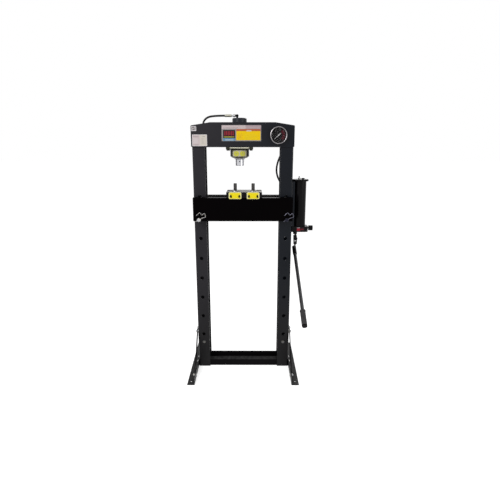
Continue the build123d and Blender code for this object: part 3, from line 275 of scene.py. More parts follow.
class Nodes:
    """The nodes of a material or a world, which all come from one method."""

    def __init__(self, owner):
        owner.use_nodes = True
        self.tree = owner.node_tree

    def node(self, kind, settings, sockets, output=0):
        """Adds a node, sets it, fills or links its sockets and gives one of its outputs."""
        made = self.tree.nodes.new(kind)
        for key, value in settings.items():
            setattr(made, key, value)
        for key, value in sockets.items():
            self.plug(made.inputs[key], value)
        return Wire(self, made.outputs[output])

    def plug(self, socket, value):
        if isinstance(value, Wire):
            self.tree.links.new(value.socket, socket)
        elif socket.type == "RGBA":
            socket.default_value = (*value, 1.0)
        else:
            socket.default_value = value

    def split_view(self, lit, seen, output):
        """Puts out one shader for light and another for the view, its gloss and its glass."""
        rays = self.node("ShaderNodeLightPath", {}, {}, "Is Camera Ray")
        for way in ("Is Glossy Ray", "Is Transmission Ray"):
            more = self.node("ShaderNodeLightPath", {}, {}, way)
            rays = self.node(
                "ShaderNodeMath", {"operation": "ADD", "use_clamp": True}, {0: rays, 1: more})
        mixed = self.node("ShaderNodeMixShader", {}, {0: rays, 1: lit, 2: seen})
        self.plug(self.tree.nodes[output].inputs["Surface"], mixed)


class Finish(Nodes):
    """A material, whose patterns lie on the piece's own coordinates."""

    socket_names = {
        "base": "Base Color", "roughness": "Roughness", "metallic": "Metallic", "alpha": "Alpha",
        "specular": "Specular IOR Level", "normal": "Normal",
    }

    def __init__(self, name):
        self.material = bpy.data.materials.new(name)
        super().__init__(self.material)
        self.shader = self.tree.nodes["Principled BSDF"]
        self.place = self.node("ShaderNodeTexCoord", {}, {}, "Object")

    def noise(self, scale, detail=2.0, roughness=0.5, stretch=(1, 1, 1)):
        spread = self.node("ShaderNodeMapping", {}, {"Vector": self.place, "Scale": stretch})
        return self.node(
            "ShaderNodeTexNoise", {},
            {"Vector": spread, "Scale": scale, "Detail": detail, "Roughness": roughness})

    def cells(self, scale):
        return self.node("ShaderNodeTexVoronoi", {}, {"Vector": self.place, "Scale": scale})

    def blend(self, factor, first, second):
        return self.node("ShaderNodeMix", {"data_type": "RGBA"}, {0: factor, 6: first, 7: second}, 2)

    def toned(self, factor, shade, first, second):
        """A shade between two strengths of itself."""
        return self.blend(factor, shaded(shade, first), shaded(shade, second))

    def along(self, axis):
        return self.node("ShaderNodeSeparateXYZ", {}, {0: self.place}, axis)

    def facing(self):
        return self.node("ShaderNodeNewGeometry", {}, {}, "Normal")

    def facing_up(self):
        return self.node("ShaderNodeSeparateXYZ", {}, {0: self.facing()}, 2)

    def rounded(self, radius):
        """The surface's direction with its edges rounded, and how near an edge a point lies."""
        soft = self.node("ShaderNodeBevel", {"samples": 4}, {"Radius": radius})
        agreement = self.node(
            "ShaderNodeVectorMath", {"operation": "DOT_PRODUCT"}, {0: soft, 1: self.facing()}, "Value")
        return soft, 1.0 - agreement.between(0.80, 0.99)

    def bump(self, height, strength, distance, normal=None):
        sockets = {"Height": height, "Strength": strength, "Distance": distance}
        if normal is not None:
            sockets["Normal"] = normal
        return self.node("ShaderNodeBump", {}, sockets)

    def surface(self, **sockets):
        """Plugs the shader's own inputs and gives the material."""
        for key, value in sockets.items():
            self.plug(self.shader.inputs[self.socket_names[key]], value)
        return self.material


def shaded(shade, factor):
    return tuple(min(1.0, part * factor) for part in shade)


def enamel(name, shade, edge_radius, sheen, specular, top_dust_and_reflection, right_painted_shade=None, floor_painted_shade=None):
    """Sprayed or powder-coated paint: orange peel, cloudy gloss, thin edges, and on upward faces a
    dusting that is also a painted reflection of the sky.

    Painted shade darkens the coat from the left of the press to its right, to a bluer tone, and
    darkens it near the floor."""
    finish = Finish(name)
    cloud = finish.noise(5.0, detail=4.0)
    peel = finish.noise(PEEL_SCALE)
    speck = finish.noise(2600.0, detail=1.0)
    soft, edge = finish.rounded(edge_radius)
    # Upward faces take a patchy lighter tone: a dusting, and where it is strong, as on the rails,
    # braces and feet, also a painted reflection of the sky.
    up = finish.facing_up().between(0.55, 0.98)
    dust_and_sky_reflection = up * finish.noise(38.0, detail=5.0).between(0.35, 0.75) * top_dust_and_reflection
    patch = cloud.between(0.3, 0.7)
    tone = finish.toned(patch, shade, 0.88, 1.14)
    # Painted shade: the coat darkens and turns bluer towards the press's right, and darkens towards
    # the floor.
    if right_painted_shade is not None:
        shaded_right_tone = finish.toned(patch, right_painted_shade, 0.88, 1.14)
        tone = finish.blend(finish.along(0).between(*RIGHT_SHADE_SPAN), tone, shaded_right_tone)
    if floor_painted_shade is not None:
        tone = finish.blend(finish.along(2).between(*FLOOR_SHADE_SPAN), floor_painted_shade, tone)
    worn = finish.blend(edge * 0.34, tone, shaded(shade, 2.6))
    return finish.surface(
        base=finish.blend(dust_and_sky_reflection, worn, DUST_AND_REFLECTION_TONE), specular=specular,
        roughness=sheen + cloud * 0.08 + speck.between(0.6, 0.8) * 0.05 + dust_and_sky_reflection * 0.9,
        normal=finish.bump(peel * 0.8 + speck * 0.2, 0.16, 0.00035, soft))


def plated(name, shade, roughness, passivated=True):
    """Zinc or chrome plate: cloudy brightness, with a faint straw tint where passivated."""
    finish = Finish(name)
    cloud = finish.noise(60.0, detail=3.0)
    grain = finish.noise(1400.0)
    soft, edge = finish.rounded(0.4 * MM)
    warm = (shade[0] * 1.04, shade[1] * 0.99, shade[2] * 0.88) if passivated else shade
    tone = finish.blend(cloud.between(0.35, 0.65), shaded(shade, 0.90), warm)
    return finish.surface(
        base=finish.blend(edge * 0.5, tone, shaded(shade, 1.25)), metallic=1.0,
        roughness=roughness + cloud * 0.12 + grain * 0.05,
        normal=finish.bump(grain, 0.10, 0.0001, soft))


def scaled_steel(name, scale_shade, ground_shade):
    """Hot-rolled steel with black scale on its sides and a ground, marked top."""
    finish = Finish(name)
    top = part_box("arbor_plates")[1].z
    bare = finish.along(2).between(top - GROUND_DEPTH, top - GROUND_DEPTH / 4)
    grind = finish.noise(60.0, detail=6.0, roughness=0.7, stretch=(1, 14, 1))
    blot = finish.noise(26.0, detail=4.0).between(0.42, 0.62)
    flake = finish.cells(240.0).between(0.1, 0.5)
    soft, edge = finish.rounded(0.8 * MM)
    side = finish.toned(flake * 0.5, scale_shade, 1.0, 2.4)
    face = finish.toned(blot * 0.6, ground_shade, 1.15, 0.6)
    tone = finish.blend(bare, side, face)
    return finish.surface(
        base=finish.blend(edge * 0.5, tone, shaded(ground_shade, 2.2)), specular=0.1,
        metallic=bare * 0.35 + edge * 0.2, roughness=0.48 + blot * 0.18 - bare * 0.06,
        normal=finish.bump(grind * bare + flake * 0.3, 0.2, 0.0002, soft))


def banded_enamel(name, shade, band_shade, low, high, middle, half_width, specular):
    """Dark enamel with a bright band between two heights, fading at both ends: worn metal on the
    cylinder, and on the flange bare metal painted pale as a highlight.
    """
    finish = Finish(name)
    height = finish.along(2)
    fade = 0.8 * MM
    reach = (finish.along(0) - middle).size()
    band = height.between(low - fade, low) - height.between(high, high + fade)
    # The band: worn metal on the cylinder; on the flange, bare metal painted pale as a highlight.
    bare = band * (1.0 - reach.between(half_width * 0.85, half_width))
    smear = finish.noise(48.0, detail=4.0, stretch=(1, 1, 5)).between(0.30, 0.55)
    cloud = finish.noise(30.0, detail=3.0)
    soft, edge = finish.rounded(1.0 * MM)
    paint = finish.blend(edge * 0.5, shade, shaded(band_shade, 0.35))
    tint = finish.toned(smear, band_shade, 0.45, 1.0)
    return finish.surface(
        base=finish.blend(bare * 0.9, paint, tint), metallic=bare * 0.45,
        roughness=0.34 + cloud * 0.1, specular=specular,
        normal=finish.bump(finish.noise(PEEL_SCALE), 0.12, 0.0003, soft))


def bordered_enamel(name, shade, highlight_shade, boxes, border, end_border):
    """Yellow enamel on plates, with a pale border, wider at their ends, that is a painted highlight.
    """
    finish = Finish(name)
    across = finish.along(0)
    height = finish.along(2)
    inside = None
    for low, high in boxes:
        middle = (low + high) / 2
        half = (high - low) / 2
        from_end = (half.x - (across - middle.x).size()) * (border / end_border)
        reach = from_end.least(half.z - (height - middle.z).size())
        inside = reach if inside is None else inside.most(reach)
    wander = finish.noise(120.0, detail=3.0) * (3 * MM)
    # Painted highlight: a pale border round each plate, wider at its ends.
    pale = 1.0 - (inside + wander).between(border * 0.6, border * 1.6)
    soft, edge = finish.rounded(1.0 * MM)
    scuff = finish.noise(300.0, detail=5.0).between(0.62, 0.72) * 0.25
    tone = finish.blend(pale, shade, highlight_shade)
    return finish.surface(
        base=finish.blend(edge * 0.3 + scuff * edge, tone, THIN_YELLOW),
        roughness=0.34 + scuff, specular=0.2,
        normal=finish.bump(finish.noise(PEEL_SCALE), 0.14, 0.0003, soft))


def machined(name, shade, roughness, axis=2, pitch=0.35 * MM, metallic=1.0):
    """Turned metal: fine tool lines round the piece and slight clouding."""
    finish = Finish(name)
    wander = finish.noise(220.0) * 1.6
    lines = (finish.along(axis) * (FULL_TURN / pitch) + wander).sine()
    cloud = finish.noise(34.0, detail=3.0)
    soft, edge = finish.rounded(0.5 * MM)
    tone = finish.toned(cloud.between(0.3, 0.7), shade, 0.86, 1.0)
    return finish.surface(
        base=finish.blend(edge * 0.4, tone, shaded(shade, 1.3)), metallic=metallic,
        roughness=roughness + cloud * 0.10, normal=finish.bump(lines, 0.09, 0.00006, soft))


def moulded(name, shade, roughness, specular=0.07):
    """Moulded plastic or rubber with a fine spark-eroded grain."""
    finish = Finish(name)
    cloud = finish.noise(30.0, detail=3.0)
    soft, edge = finish.rounded(0.6 * MM)
    tone = finish.toned(cloud.between(0.3, 0.7), shade, 0.85, 1.25)
    return finish.surface(
        base=finish.blend(edge * 0.4, tone, shaded(shade, 2.5)), specular=specular,
        roughness=roughness + cloud * 0.1,
        normal=finish.bump(finish.cells(1500.0), 0.25, 0.00008, soft))


def printed(name, shade, roughness=0.38):
    """Printed vinyl: a faint screen of ink over a nearly flat sheet."""
    finish = Finish(name)
    screen = finish.cells(1900.0).between(0.2, 0.6)
    cloud = finish.noise(55.0)
    return finish.surface(
        base=finish.toned(screen * 0.10 + cloud * 0.12, shade, 1.0, 0.72), specular=0.15,
        roughness=roughness + cloud * 0.08, normal=finish.bump(cloud, 0.06, 0.0002))


def braided_rubber(name, shade):
    """Hose cover: rubber with the print of the cloth that it was wrapped in."""
    finish = Finish(name)
    wrap = finish.noise(90.0, stretch=(1, 1, 3))
    cloth = finish.cells(1300.0) * 0.6 + finish.noise(2200.0) * 0.4
    return finish.surface(
        base=finish.toned(wrap.between(0.35, 0.65), shade, 0.8, 1.35), specular=0.2,
        roughness=0.40 + wrap * 0.15, normal=finish.bump(cloth, 0.3, 0.00012))


def window_pane(name):
    """A clear pane with faint smudges in its gloss."""
    finish = Finish(name)
    smudge = finish.noise(45.0, detail=4.0).between(0.55, 0.8)
    return finish.surface(base=(0.02, 0.02, 0.02), roughness=0.03 + smudge * 0.10, alpha=0.05)


def weld_metal(name, shade):
    """Painted weld: ripples and a few pin holes."""
    finish = Finish(name)
    ripple = finish.noise(420.0, detail=3.0)
    pits = finish.cells(700.0).between(0.0, 0.25)
    return finish.surface(
        base=finish.toned(ripple, shade, 0.8, 1.3), roughness=0.40 + ripple * 0.15,
        normal=finish.bump(ripple + pits * 0.4, 0.6, 0.0005))


finishes = {}


def coat(key, material, *nodes):
    """Keeps a finish under a key and puts it on the press's own pieces."""
    finishes[key] = material
    for node in nodes:
        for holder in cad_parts[node].material_slots:
            holder.material = material


def solids_of(node):
    """The box of each separate solid of a CAD node, found on a merged copy of its mesh."""
    copy = bmesh.new()
    copy.from_mesh(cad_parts[node].data)
    bmesh.ops.remove_doubles(copy, verts=copy.verts, dist=0.01 * MM)
    waiting = set(copy.verts)
    boxes = []
    while waiting:
        stack = [waiting.pop()]
        low = stack[0].co.copy()
        high = low.copy()
        while stack:
            vert = stack.pop()
            low = Vector(map(min, low, vert.co))
            high = Vector(map(max, high, vert.co))
            for edge in vert.link_edges:
                other = edge.other_vert(vert)
                if other in waiting:
                    waiting.remove(other)
                    stack.append(other)
        boxes.append((low, high))
    copy.free()
    return sorted(boxes, key=lambda box: tuple(box[0]))


def on_axis(low, high, height):
    """The point at a height on a box's upright axis."""
    return Vector(((low.x + high.x) / 2, (low.y + high.y) / 2, height))


def stamp(target, source, matrix=None):
    """Adds one bmesh to another, moved by a matrix, and frees it."""
    if matrix is not None:
        source.transform(matrix)
    carrier = bpy.data.meshes.new("carrier")
    source.to_mesh(carrier)
    source.free()
    target.from_mesh(carrier)
    bpy.data.meshes.remove(carrier)


def added(name, data):
    """A new object at the origin of the scene."""
    made = bpy.data.objects.new(name, data)
    bpy.context.scene.collection.objects.link(made)
    return made


def piece(name, bm, body, keys, smooth=True):
    """A finished piece in the row frame, riding on a body, with its finishes by their keys."""
    bmesh.ops.recalc_face_normals(bm, faces=bm.faces)
    for face in bm.faces:
        face.smooth = smooth
    for edge in bm.edges:
        edge.smooth = edge.calc_face_angle(0.0) < CREASE_ANGLE
    mesh = bpy.data.meshes.new(name)
    bm.to_mesh(mesh)
    bm.free()
    for key in keys:
        mesh.materials.append(finishes[key])
    made = added(name, mesh)
    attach(made, body)
    return made


def turned(outline, steps=40):
    """A bmesh turned round Z from its outline of radius and height."""
    bm = bmesh.new()
    verts = [bm.verts.new((radius, 0, height)) for radius, height in outline]
    edges = [bm.edges.new(pair) for pair in zip(verts, verts[1:])]
    bmesh.ops.spin(
        bm, geom=verts + edges, cent=(0, 0, 0), axis=(0, 0, 1), angle=FULL_TURN, steps=steps,
        use_merge=True, use_duplicate=False)
    bmesh.ops.remove_doubles(bm, verts=bm.verts, dist=0.001 * MM)
    bmesh.ops.recalc_face_normals(bm, faces=bm.faces)
    return bm


def hexagon(across, height, chamfer):
    """A hexagon nut or head standing on Z = 0, with its upper corners turned off."""
    bm = bmesh.new()
    radius = across / math.sqrt(3)
    bmesh.ops.create_cone(
        bm, cap_ends=True, segments=6, radius1=radius, radius2=radius, depth=height,
        matrix=Matrix.Translation((0, 0, height / 2)))
    top = [vert for vert in bm.verts if vert.co.z > height / 2]
    bmesh.ops.bevel(
        bm, geom=top, offset=chamfer, segments=2, profile=0.5, affect="VERTICES", material=-1)
    return bm


def threaded_rod(radius, start, end, pitch):
    """A rod whose thread is cut as rings, closed at both ends on the axis."""
    turns = max(2, round((end - start) / pitch))
    step = (end - start) / turns
    root = radius * THREAD_ROOT
    outline = [(0, start), (root, start)]
    for turn in range(turns):
        outline += [(radius, start + (turn + 0.5) * step), (root, start + (turn + 1) * step)]
    return turned(outline + [(0, end)], steps=24)


def washer(radius, thickness):
    outline = [
        (0, 0), (radius, 0), (radius, thickness * 0.75), (radius - thickness * 0.25, thickness),
        (0, thickness)]
    return turned(outline)


def axis_matrix(place, direction):
    """Puts Z = 0 at a place with +Z along a direction."""
    turn = Vector(direction).to_track_quat("Z", "Y").to_matrix().to_4x4()
    return Matrix.Translation(place) @ turn


def sheet_of(width, height, thickness, corner):
    """A thin plate in the XZ plane, facing -Y, with its back on Y = 0 and round corners."""
    bm = bmesh.new()
    bmesh.ops.create_grid(bm, x_segments=1, y_segments=1, size=0.5)
    bmesh.ops.scale(bm, vec=(width, height, 1), verts=bm.verts)
    bmesh.ops.bevel(
        bm, geom=list(bm.verts), offset=corner, segments=4, profile=0.5, affect="VERTICES",
        material=-1)
    bmesh.ops.rotate(bm, cent=(0, 0, 0), matrix=Matrix.Rotation(math.pi / 2, 3, "X"), verts=bm.verts)
    lifted = bmesh.ops.extrude_face_region(bm, geom=list(bm.faces))
    moved = [part for part in lifted["geom"] if isinstance(part, bmesh.types.BMVert)]
    bmesh.ops.translate(bm, vec=(0, -thickness, 0), verts=moved)
    bmesh.ops.recalc_face_normals(bm, faces=bm.faces)
    return bm


def inked(bm, index):
    """Gives a whole bmesh one of its piece's finishes."""
    for face in bm.faces:
        face.material_index = index
    return bm


class LabelPrinter:
    """Builds a label on a CAD node's front from plates of colour, laid on each other.

    Sides and corners are in millimetres, and levels are thicknesses in layers."""

    def __init__(self, node, share=1.0):
        self.bm = bmesh.new()
        self.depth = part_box(node)[0].y
        self.layer = bpy.context.scene.press_sizes.label_thickness * share
        self.inks = []

    def field(self, ink, left, right, low, high, level=1.0, corner=0.6):
        if ink not in self.inks:
            self.inks.append(ink)
        plate = sheet_of((right - left) * MM, (high - low) * MM, self.layer * level, corner * MM)
        place = ((left + right) / 2 * MM, self.depth, (low + high) / 2 * MM)
        stamp(self.bm, inked(plate, self.inks.index(ink)), Matrix.Translation(place))

    def disc(self, ink, x, z, radius, level=2.0):
        self.field(ink, x - radius, x + radius, z - radius, z + radius, level, radius * 0.58)

    def rows(self, ink, left, right, low, high, count, share, level=2.2, ragged=0.0):
        """Rows of small marks from the bottom up, whose right ends may be ragged."""
        pitch = (high - low) / count
        for row in range(count):
            end = right - ragged * (0.5 + 0.5 * math.sin(2.3 * row + left)) * (right - left)
            base = low + row * pitch
            self.field(ink, left, end, base, base + pitch * share, level, 0.2)

    def finish(self, name, body="frame", slot="frame_paint"):
        return piece(name, self.bm, body, self.inks, smooth=False)


class PRESS_OT_camera(bpy.types.Operator):
    """Place the camera"""

    bl_idname = "press.camera"
    bl_label = "Camera"

    def execute(self, context):
        stage = context.scene.press_stage
        lens = bpy.data.cameras.new("camera")
        lens.lens = stage.lens
        lens.sensor_width = 36
        camera = added("camera", lens)
        camera.location = stage.camera_place
        camera.rotation_euler = (stage.camera_pitch, 0, stage.camera_turn)
        context.scene.camera = camera
        return {"FINISHED"}


class PRESS_OT_hose(bpy.types.Operator):
    """Lay the pressure hose from the cylinder to the pump"""

    bl_idname = "press.hose"
    bl_label = "Hose"

    def execute(self, context):
        sizes = context.scene.press_sizes
        line = bpy.data.curves.new("pressure_hose", "CURVE")
        line.dimensions = "3D"
        line.bevel_depth = sizes.hose_diameter / 2
        line.bevel_resolution = 5
        line.resolution_u = 10
        line.use_fill_caps = True
        spline = line.splines.new("NURBS")
        spline.points.add(len(HOSE_ROUTE) - 1)
        for point, (x, y, z) in zip(spline.points, HOSE_ROUTE):
            point.co = (x * MM, y * MM, z * MM, 1)
        spline.order_u = 3
        spline.use_endpoint_u = True
        line.materials.append(finishes["hose"])
        hose = added("pressure_hose", line)
        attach(hose, "frame")
        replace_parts(hose, "hose")
        return {"FINISHED"}


class PRESS_OT_finishes(bpy.types.Operator):
    """Mix the finishes and paint the press's own pieces with them"""

    bl_idname = "press.finishes"
    bl_label = "Finishes"

    def execute(self, context):
        colours = context.scene.press_finishes
        self.paints(colours, context.scene.press_sizes.edge_radius)
        self.cylinder_paints(colours)
        self.metals(colours)
        self.plastics(colours)
        coat("dial", printed("dial_print", colours.dial_black, 0.5), "gauge_dial")
        coat("mark", printed("dial_marks", colours.dial_mark, 0.5))
        coat("danger", printed("dial_band", colours.dial_red, 0.5))
        coat("pointer", printed("pointer_lacquer", colours.dial_pointer, 0.4), "gauge_pointer")
        for ink in INKS:
            coat(ink, printed("ink_" + ink, getattr(colours, "label_" + ink)))
        return {"FINISHED"}

    def paints(self, colours, edge):
        # The frame's coat takes painted shade towards its right and near the floor.
        frame_painted_shades = (colours.frame_far, colours.frame_low)
        for key, shade, sheen, specular, top_dust_and_reflection, painted_shades, nodes in (
            ("frame", colours.frame_paint, 0.32, 0.16, 0.03, frame_painted_shades, (
                "left_post", "right_post", "head_front", "head_rear", "head_lower_plate",
                "head_upper_plate", "pump_bracket")),
            # Rails and braces: painted darker as the shade near the floor, with a painted sky
            # reflection on upward faces.
            ("base", colours.base_paint, 0.38, 0.03, 0.08, (), ("cross_rails", "braces")),
            # Feet: a greyer coat, painted lighter as a reflection of the sky, strongest on upward
            # faces.
            ("foot", colours.foot_paint, 0.42, 0.08, 0.10, (), ("left_foot", "right_foot")),
            ("bed", colours.bed_paint, 0.32, 0.012, 0.0, (), ("bed_front", "bed_rear")),
            ("pump", colours.pump_paint, 0.20, 0.09, 0.005, (), (
                "oil_tank", "tank_lid", "pump_base", "lever")),
            ("nut", colours.nut_paint, 0.32, 0.2, 0.03, (), ("ring_nut",)),
        ):
            paint = enamel(key + "_enamel", shade, edge, sheen, specular, top_dust_and_reflection, *painted_shades)
            coat(key, paint, *nodes)
        keeper_paint = bordered_enamel(
            "keeper_enamel", colours.keeper_yellow, colours.keeper_border,
            solids_of("keeper_plates"), border=4 * MM, end_border=11 * MM)
        coat("keeper", keeper_paint, "keeper_plates")
        coat("weld", weld_metal("painted_weld", colours.frame_paint))

    def cylinder_paints(self, colours):
        low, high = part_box("mounting_flange")
        # The flange's pale band is bare metal and a painted highlight.
        flange_coat = banded_enamel(
            "flange_enamel", colours.flange_paint, colours.bare_band, high.z - 7.5 * MM,
            high.z - 3 * MM, (low.x + high.x) / 2, half_width=72 * MM, specular=0.2)
        coat("flange", flange_coat, "mounting_flange")
        low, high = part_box("cylinder_body")
        cylinder_coat = banded_enamel(
            "cylinder_enamel", colours.cylinder_paint, colours.cylinder_lip, low.z,
            low.z + 7 * MM, (low.x + high.x) / 2, half_width=80 * MM, specular=0.16)
        coat("cylinder", cylinder_coat, "cylinder_body")

    def metals(self, colours):
        coat(
            "zinc", plated("bright_zinc", colours.zinc, 0.22), "frame_bolts", "brace_spacers",
            "flange_bolts", "bed_spacers", "left_bed_pin", "tie_rod_nut", "hose_ends")
        coat("tie", plated("tie_bolt_zinc", colours.tie, 0.36))
        coat("sleeve", plated("crimped_sleeve", colours.sleeve, 0.32))
        coat("wire", plated("clip_wire", colours.wire, 0.30), "left_pin_clip")
        # Painted shade: darker, bluer copies of the zinc for the right clip and pin.
        coat("blued", plated("blued_zinc", colours.blued, 0.28, False), "right_pin_clip")
        coat("blued_pin", plated("blued_pin_plate", colours.blued_pin, 0.28, False), "right_bed_pin")
        coat("handle", plated("handle_tube", colours.handle, 0.24, False), "handle_tube")
        coat(
            "steel", machined("turned_steel", colours.steel, 0.28), "piston", "return_spring",
            "spring_pin", "gauge_pipe")
        coat(
            "chrome", machined("hard_chrome", colours.chrome, 0.10, pitch=0.2 * MM), "ram", "saddle")
        rim = machined("polished_rim", colours.rim, 0.26, axis=1, pitch=0.3 * MM)
        coat("polish", rim, "gauge_bezel")
        coat("brass", machined("turned_brass", colours.brass, 0.24, axis=1), "gauge_stem")
        coat("peg", machined("blackened_peg", colours.peg, 0.34, pitch=2 * MM), "lifting_pegs")
        lip = machined("gland_lip", colours.lip, 0.36, pitch=0.6 * MM, metallic=0.35)
        coat("lip", lip, "gland")
        coat("forged", scaled_steel("forged_steel", colours.forged, colours.ground), "arbor_plates")
        coat(
            "oxide", moulded("black_oxide", colours.forged, 0.34), "keeper_screws",
            "saddle_set_screw", "lever_pin", "plunger_pin", "plunger", "handle_cap")

    def plastics(self, colours):
        coat("grip", moulded("grip_rubber", colours.grip, 0.55, specular=0.15), "handle_grip")
        coat("seal", moulded("seal_rubber", colours.rubber, 0.45), "piston_seal", "ram_wiper")
        coat("hose", braided_rubber("hose_cover", colours.rubber))
        coat(
            "plastic", moulded("black_plastic", colours.plastic, 0.34), "release_knob",
            "filler_plug", "gauge_case", "hose_elbows")
        coat("pane", window_pane("window_pane"), "gauge_window")


def bolt_between(target, low, high, head_at_low, sizes, finish=0):
    """A bolt with washers, a nut and a thread that fills a solid's box along its longest side."""
    bolt = bmesh.new()
    spans = high - low
    axis = max(range(3), key=lambda side: spans[side])
    foot = (low + high) / 2
    tip = foot.copy()
    foot[axis], tip[axis] = (low[axis], high[axis]) if head_at_low else (high[axis], low[axis])
    inward = (tip - foot).normalized()
    reach = (tip - foot).length
    under = NUT_HEIGHT + sizes.washer_thickness
    for end, way in ((foot, inward), (tip - inward * BOLT_END, -inward)):
        nut = hexagon(NUT_ACROSS, NUT_HEIGHT, NUT_CHAMFER)
        stamp(bolt, nut, axis_matrix(end + way * NUT_HEIGHT, -way))
        ring = washer(WASHER_RADIUS, sizes.washer_thickness)
        stamp(bolt, ring, axis_matrix(end + way * under, -way))
    rod = threaded_rod(BOLT_RADIUS, NUT_HEIGHT, reach, sizes.thread_pitch)
    stamp(bolt, rod, axis_matrix(foot, inward))
    stamp(target, inked(bolt, finish))


class PRESS_OT_fasteners(bpy.types.Operator):
    """Fit bolts with washers, nuts and threads in place of the plain ones"""

    bl_idname = "press.fasteners"
    bl_label = "Fasteners"

    def execute(self, context):
        sizes = context.scene.press_sizes
        bm = bmesh.new()
        for low, high in solids_of("frame_bolts"):
            along_y = (high - low).y > (high - low).x
            head_at_low = along_y or (low + high).x > 0
            bolt_between(bm, low, high, head_at_low, sizes, finish=1 if along_y else 0)
        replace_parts(piece("frame_bolt_set", bm, "frame", ["zinc", "tie"]), "frame_bolts")
        bm = bmesh.new()
        for low, high in solids_of("flange_bolts"):
            bolt_between(bm, low, high, True, sizes)
        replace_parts(piece("flange_bolt_set", bm, "frame", ["oxide"]), "flange_bolts")
        return {"FINISHED"}


def crimped_sleeve(span, radius):
    """A sleeve over a hose's end, pressed into ribs that are broken by narrow grooves."""
    ribs = max(2, round(span / RIB_PITCH))
    pitch = span / ribs
    crest = radius + RIB_HEIGHT
    outline = [(0, 0)]
    for rib in range(ribs):
        start = rib * pitch
        outline += [
            (radius, start), (crest, start + pitch * 0.18), (crest, start + pitch * 0.72),
            (radius, start + pitch * 0.9)]
    return turned(outline + [(radius, span), (0, span)])


class PRESS_OT_fittings(bpy.types.Operator):
    """Crimp the sleeves on the hose's ends and cut the tie rod's thread"""

    bl_idname = "press.fittings"
    bl_label = "Fittings"

    def execute(self, context):
        sizes = context.scene.press_sizes
        radius = sizes.hose_diameter / 2 + SLEEVE_WALL
        bm = bmesh.new()
        upper = axis_matrix(Vector(HOSE_ROUTE[0]) * MM, (1, 0, 0))
        stamp(bm, crimped_sleeve(sizes.upper_sleeve, radius), upper)
        lower = axis_matrix(Vector(HOSE_ROUTE[-1]) * MM, (0, 0, -1))
        stamp(bm, crimped_sleeve(sizes.lower_sleeve, radius), lower)
        piece("hose_sleeves", bm, "frame", ["sleeve"])

        low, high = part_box("tie_rod_nut")
        rod = threaded_rod(TIE_ROD_RADIUS, TIE_ROD_NUT_TOP, high.z - low.z, sizes.thread_pitch)
        rod.transform(Matrix.Translation(on_axis(low, high, low.z)))
        piece("tie_rod_thread", rod, "frame", ["zinc"])
        return {"FINISHED"}


def numeral(context, number):
    """A number as a flat mesh, made from a text object that is removed again."""
    text = bpy.data.curves.new("numeral", "FONT")
    text.body = str(number)
    text.size = NUMERAL_SIZE
    text.align_x = "CENTER"
    text.align_y = "CENTER"
    text.extrude = DIAL_INK / 2
    holder = added("numeral", text)
    context.view_layer.update()
    shape = bpy.data.meshes.new_from_object(holder.evaluated_get(context.evaluated_depsgraph_get()))
    bpy.data.objects.remove(holder)
    bpy.data.curves.remove(text)
    return shape


class PRESS_OT_gauge_face(bpy.types.Operator):
    """Print the dial's ticks, numbers and red band, and cap the pointer's hub"""

    bl_idname = "press.gauge_face"
    bl_label = "Gauge face"

    def execute(self, context):
        low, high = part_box("gauge_dial")
        centre = Vector(((low.x + high.x) / 2, low.y, (low.z + high.z) / 2))
        radius = (high.x - low.x) / 2
        bm = bmesh.new()
        self.ticks(bm, centre, radius)
        self.numbers(bm, context, centre, radius)
        piece("dial_marks", bm, "frame", ["mark"], smooth=False)
        self.band(centre, radius)
        self.hub(centre)
        return {"FINISHED"}

    def ticks(self, bm, centre, radius):
        for tick in range(DIAL_TICKS + 1):
            major = tick % (DIAL_TICKS // DIAL_NUMBERS) == 0
            span, wide = LONG_TICK if major else SHORT_TICK
            angle = DIAL_START - DIAL_SWEEP * tick / DIAL_TICKS
            turn = Matrix.Rotation(-angle, 4, "Y")
            out = Matrix.Translation((radius * TICK_RING - span / 2, 0, 0))
            mark = sheet_of(span, wide, DIAL_INK, 0.1 * MM)
            stamp(bm, mark, Matrix.Translation(centre) @ turn @ out)

    def numbers(self, bm, context, centre, radius):
        ring = radius * NUMBER_RING
        for number in range(DIAL_NUMBERS + 1):
            angle = DIAL_START - DIAL_SWEEP * number / DIAL_NUMBERS
            shape = numeral(context, number * 100)
            place = centre + Vector((math.cos(angle) * ring, -DIAL_INK, math.sin(angle) * ring))
            shape.transform(Matrix.Translation(place) @ Matrix.Rotation(math.pi / 2, 4, "X"))
            bm.from_mesh(shape)
            bpy.data.meshes.remove(shape)
        bmesh.ops.remove_doubles(bm, verts=bm.verts, dist=0.001 * MM)

    def band(self, centre, radius):
        bm = bmesh.new()
        inner, outer = [bm.verts.new((radius * share, 0, 0)) for share in BAND_RING]
        rim = bm.edges.new((inner, outer))
        bmesh.ops.spin(
            bm, geom=[inner, outer, rim], cent=(0, 0, 0), axis=(0, 1, 0),
            angle=DIAL_SWEEP * (1 - BAND_START), steps=48, use_merge=False, use_duplicate=False)
        bm.transform(Matrix.Rotation(DIAL_SWEEP * BAND_START - DIAL_START, 4, "Y"))
        bmesh.ops.solidify(bm, geom=list(bm.faces), thickness=DIAL_INK / 2)
        bm.transform(Matrix.Translation(centre - Vector((0, DIAL_INK / 4, 0))))
        piece("dial_band", bm, "frame", ["danger"], smooth=False)

    def hub(self, centre):
        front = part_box("gauge_pointer")[0].y
        dome = turned(
            [(0, 2.2 * MM), (2.4 * MM, 1.9 * MM), (4.2 * MM, 1.1 * MM), (5 * MM, 0), (0, 0)], steps=48)
        dome.transform(axis_matrix((centre.x, front, centre.z), (0, -1, 0)))
        piece("pointer_hub", dome, "pointer", ["pointer"])


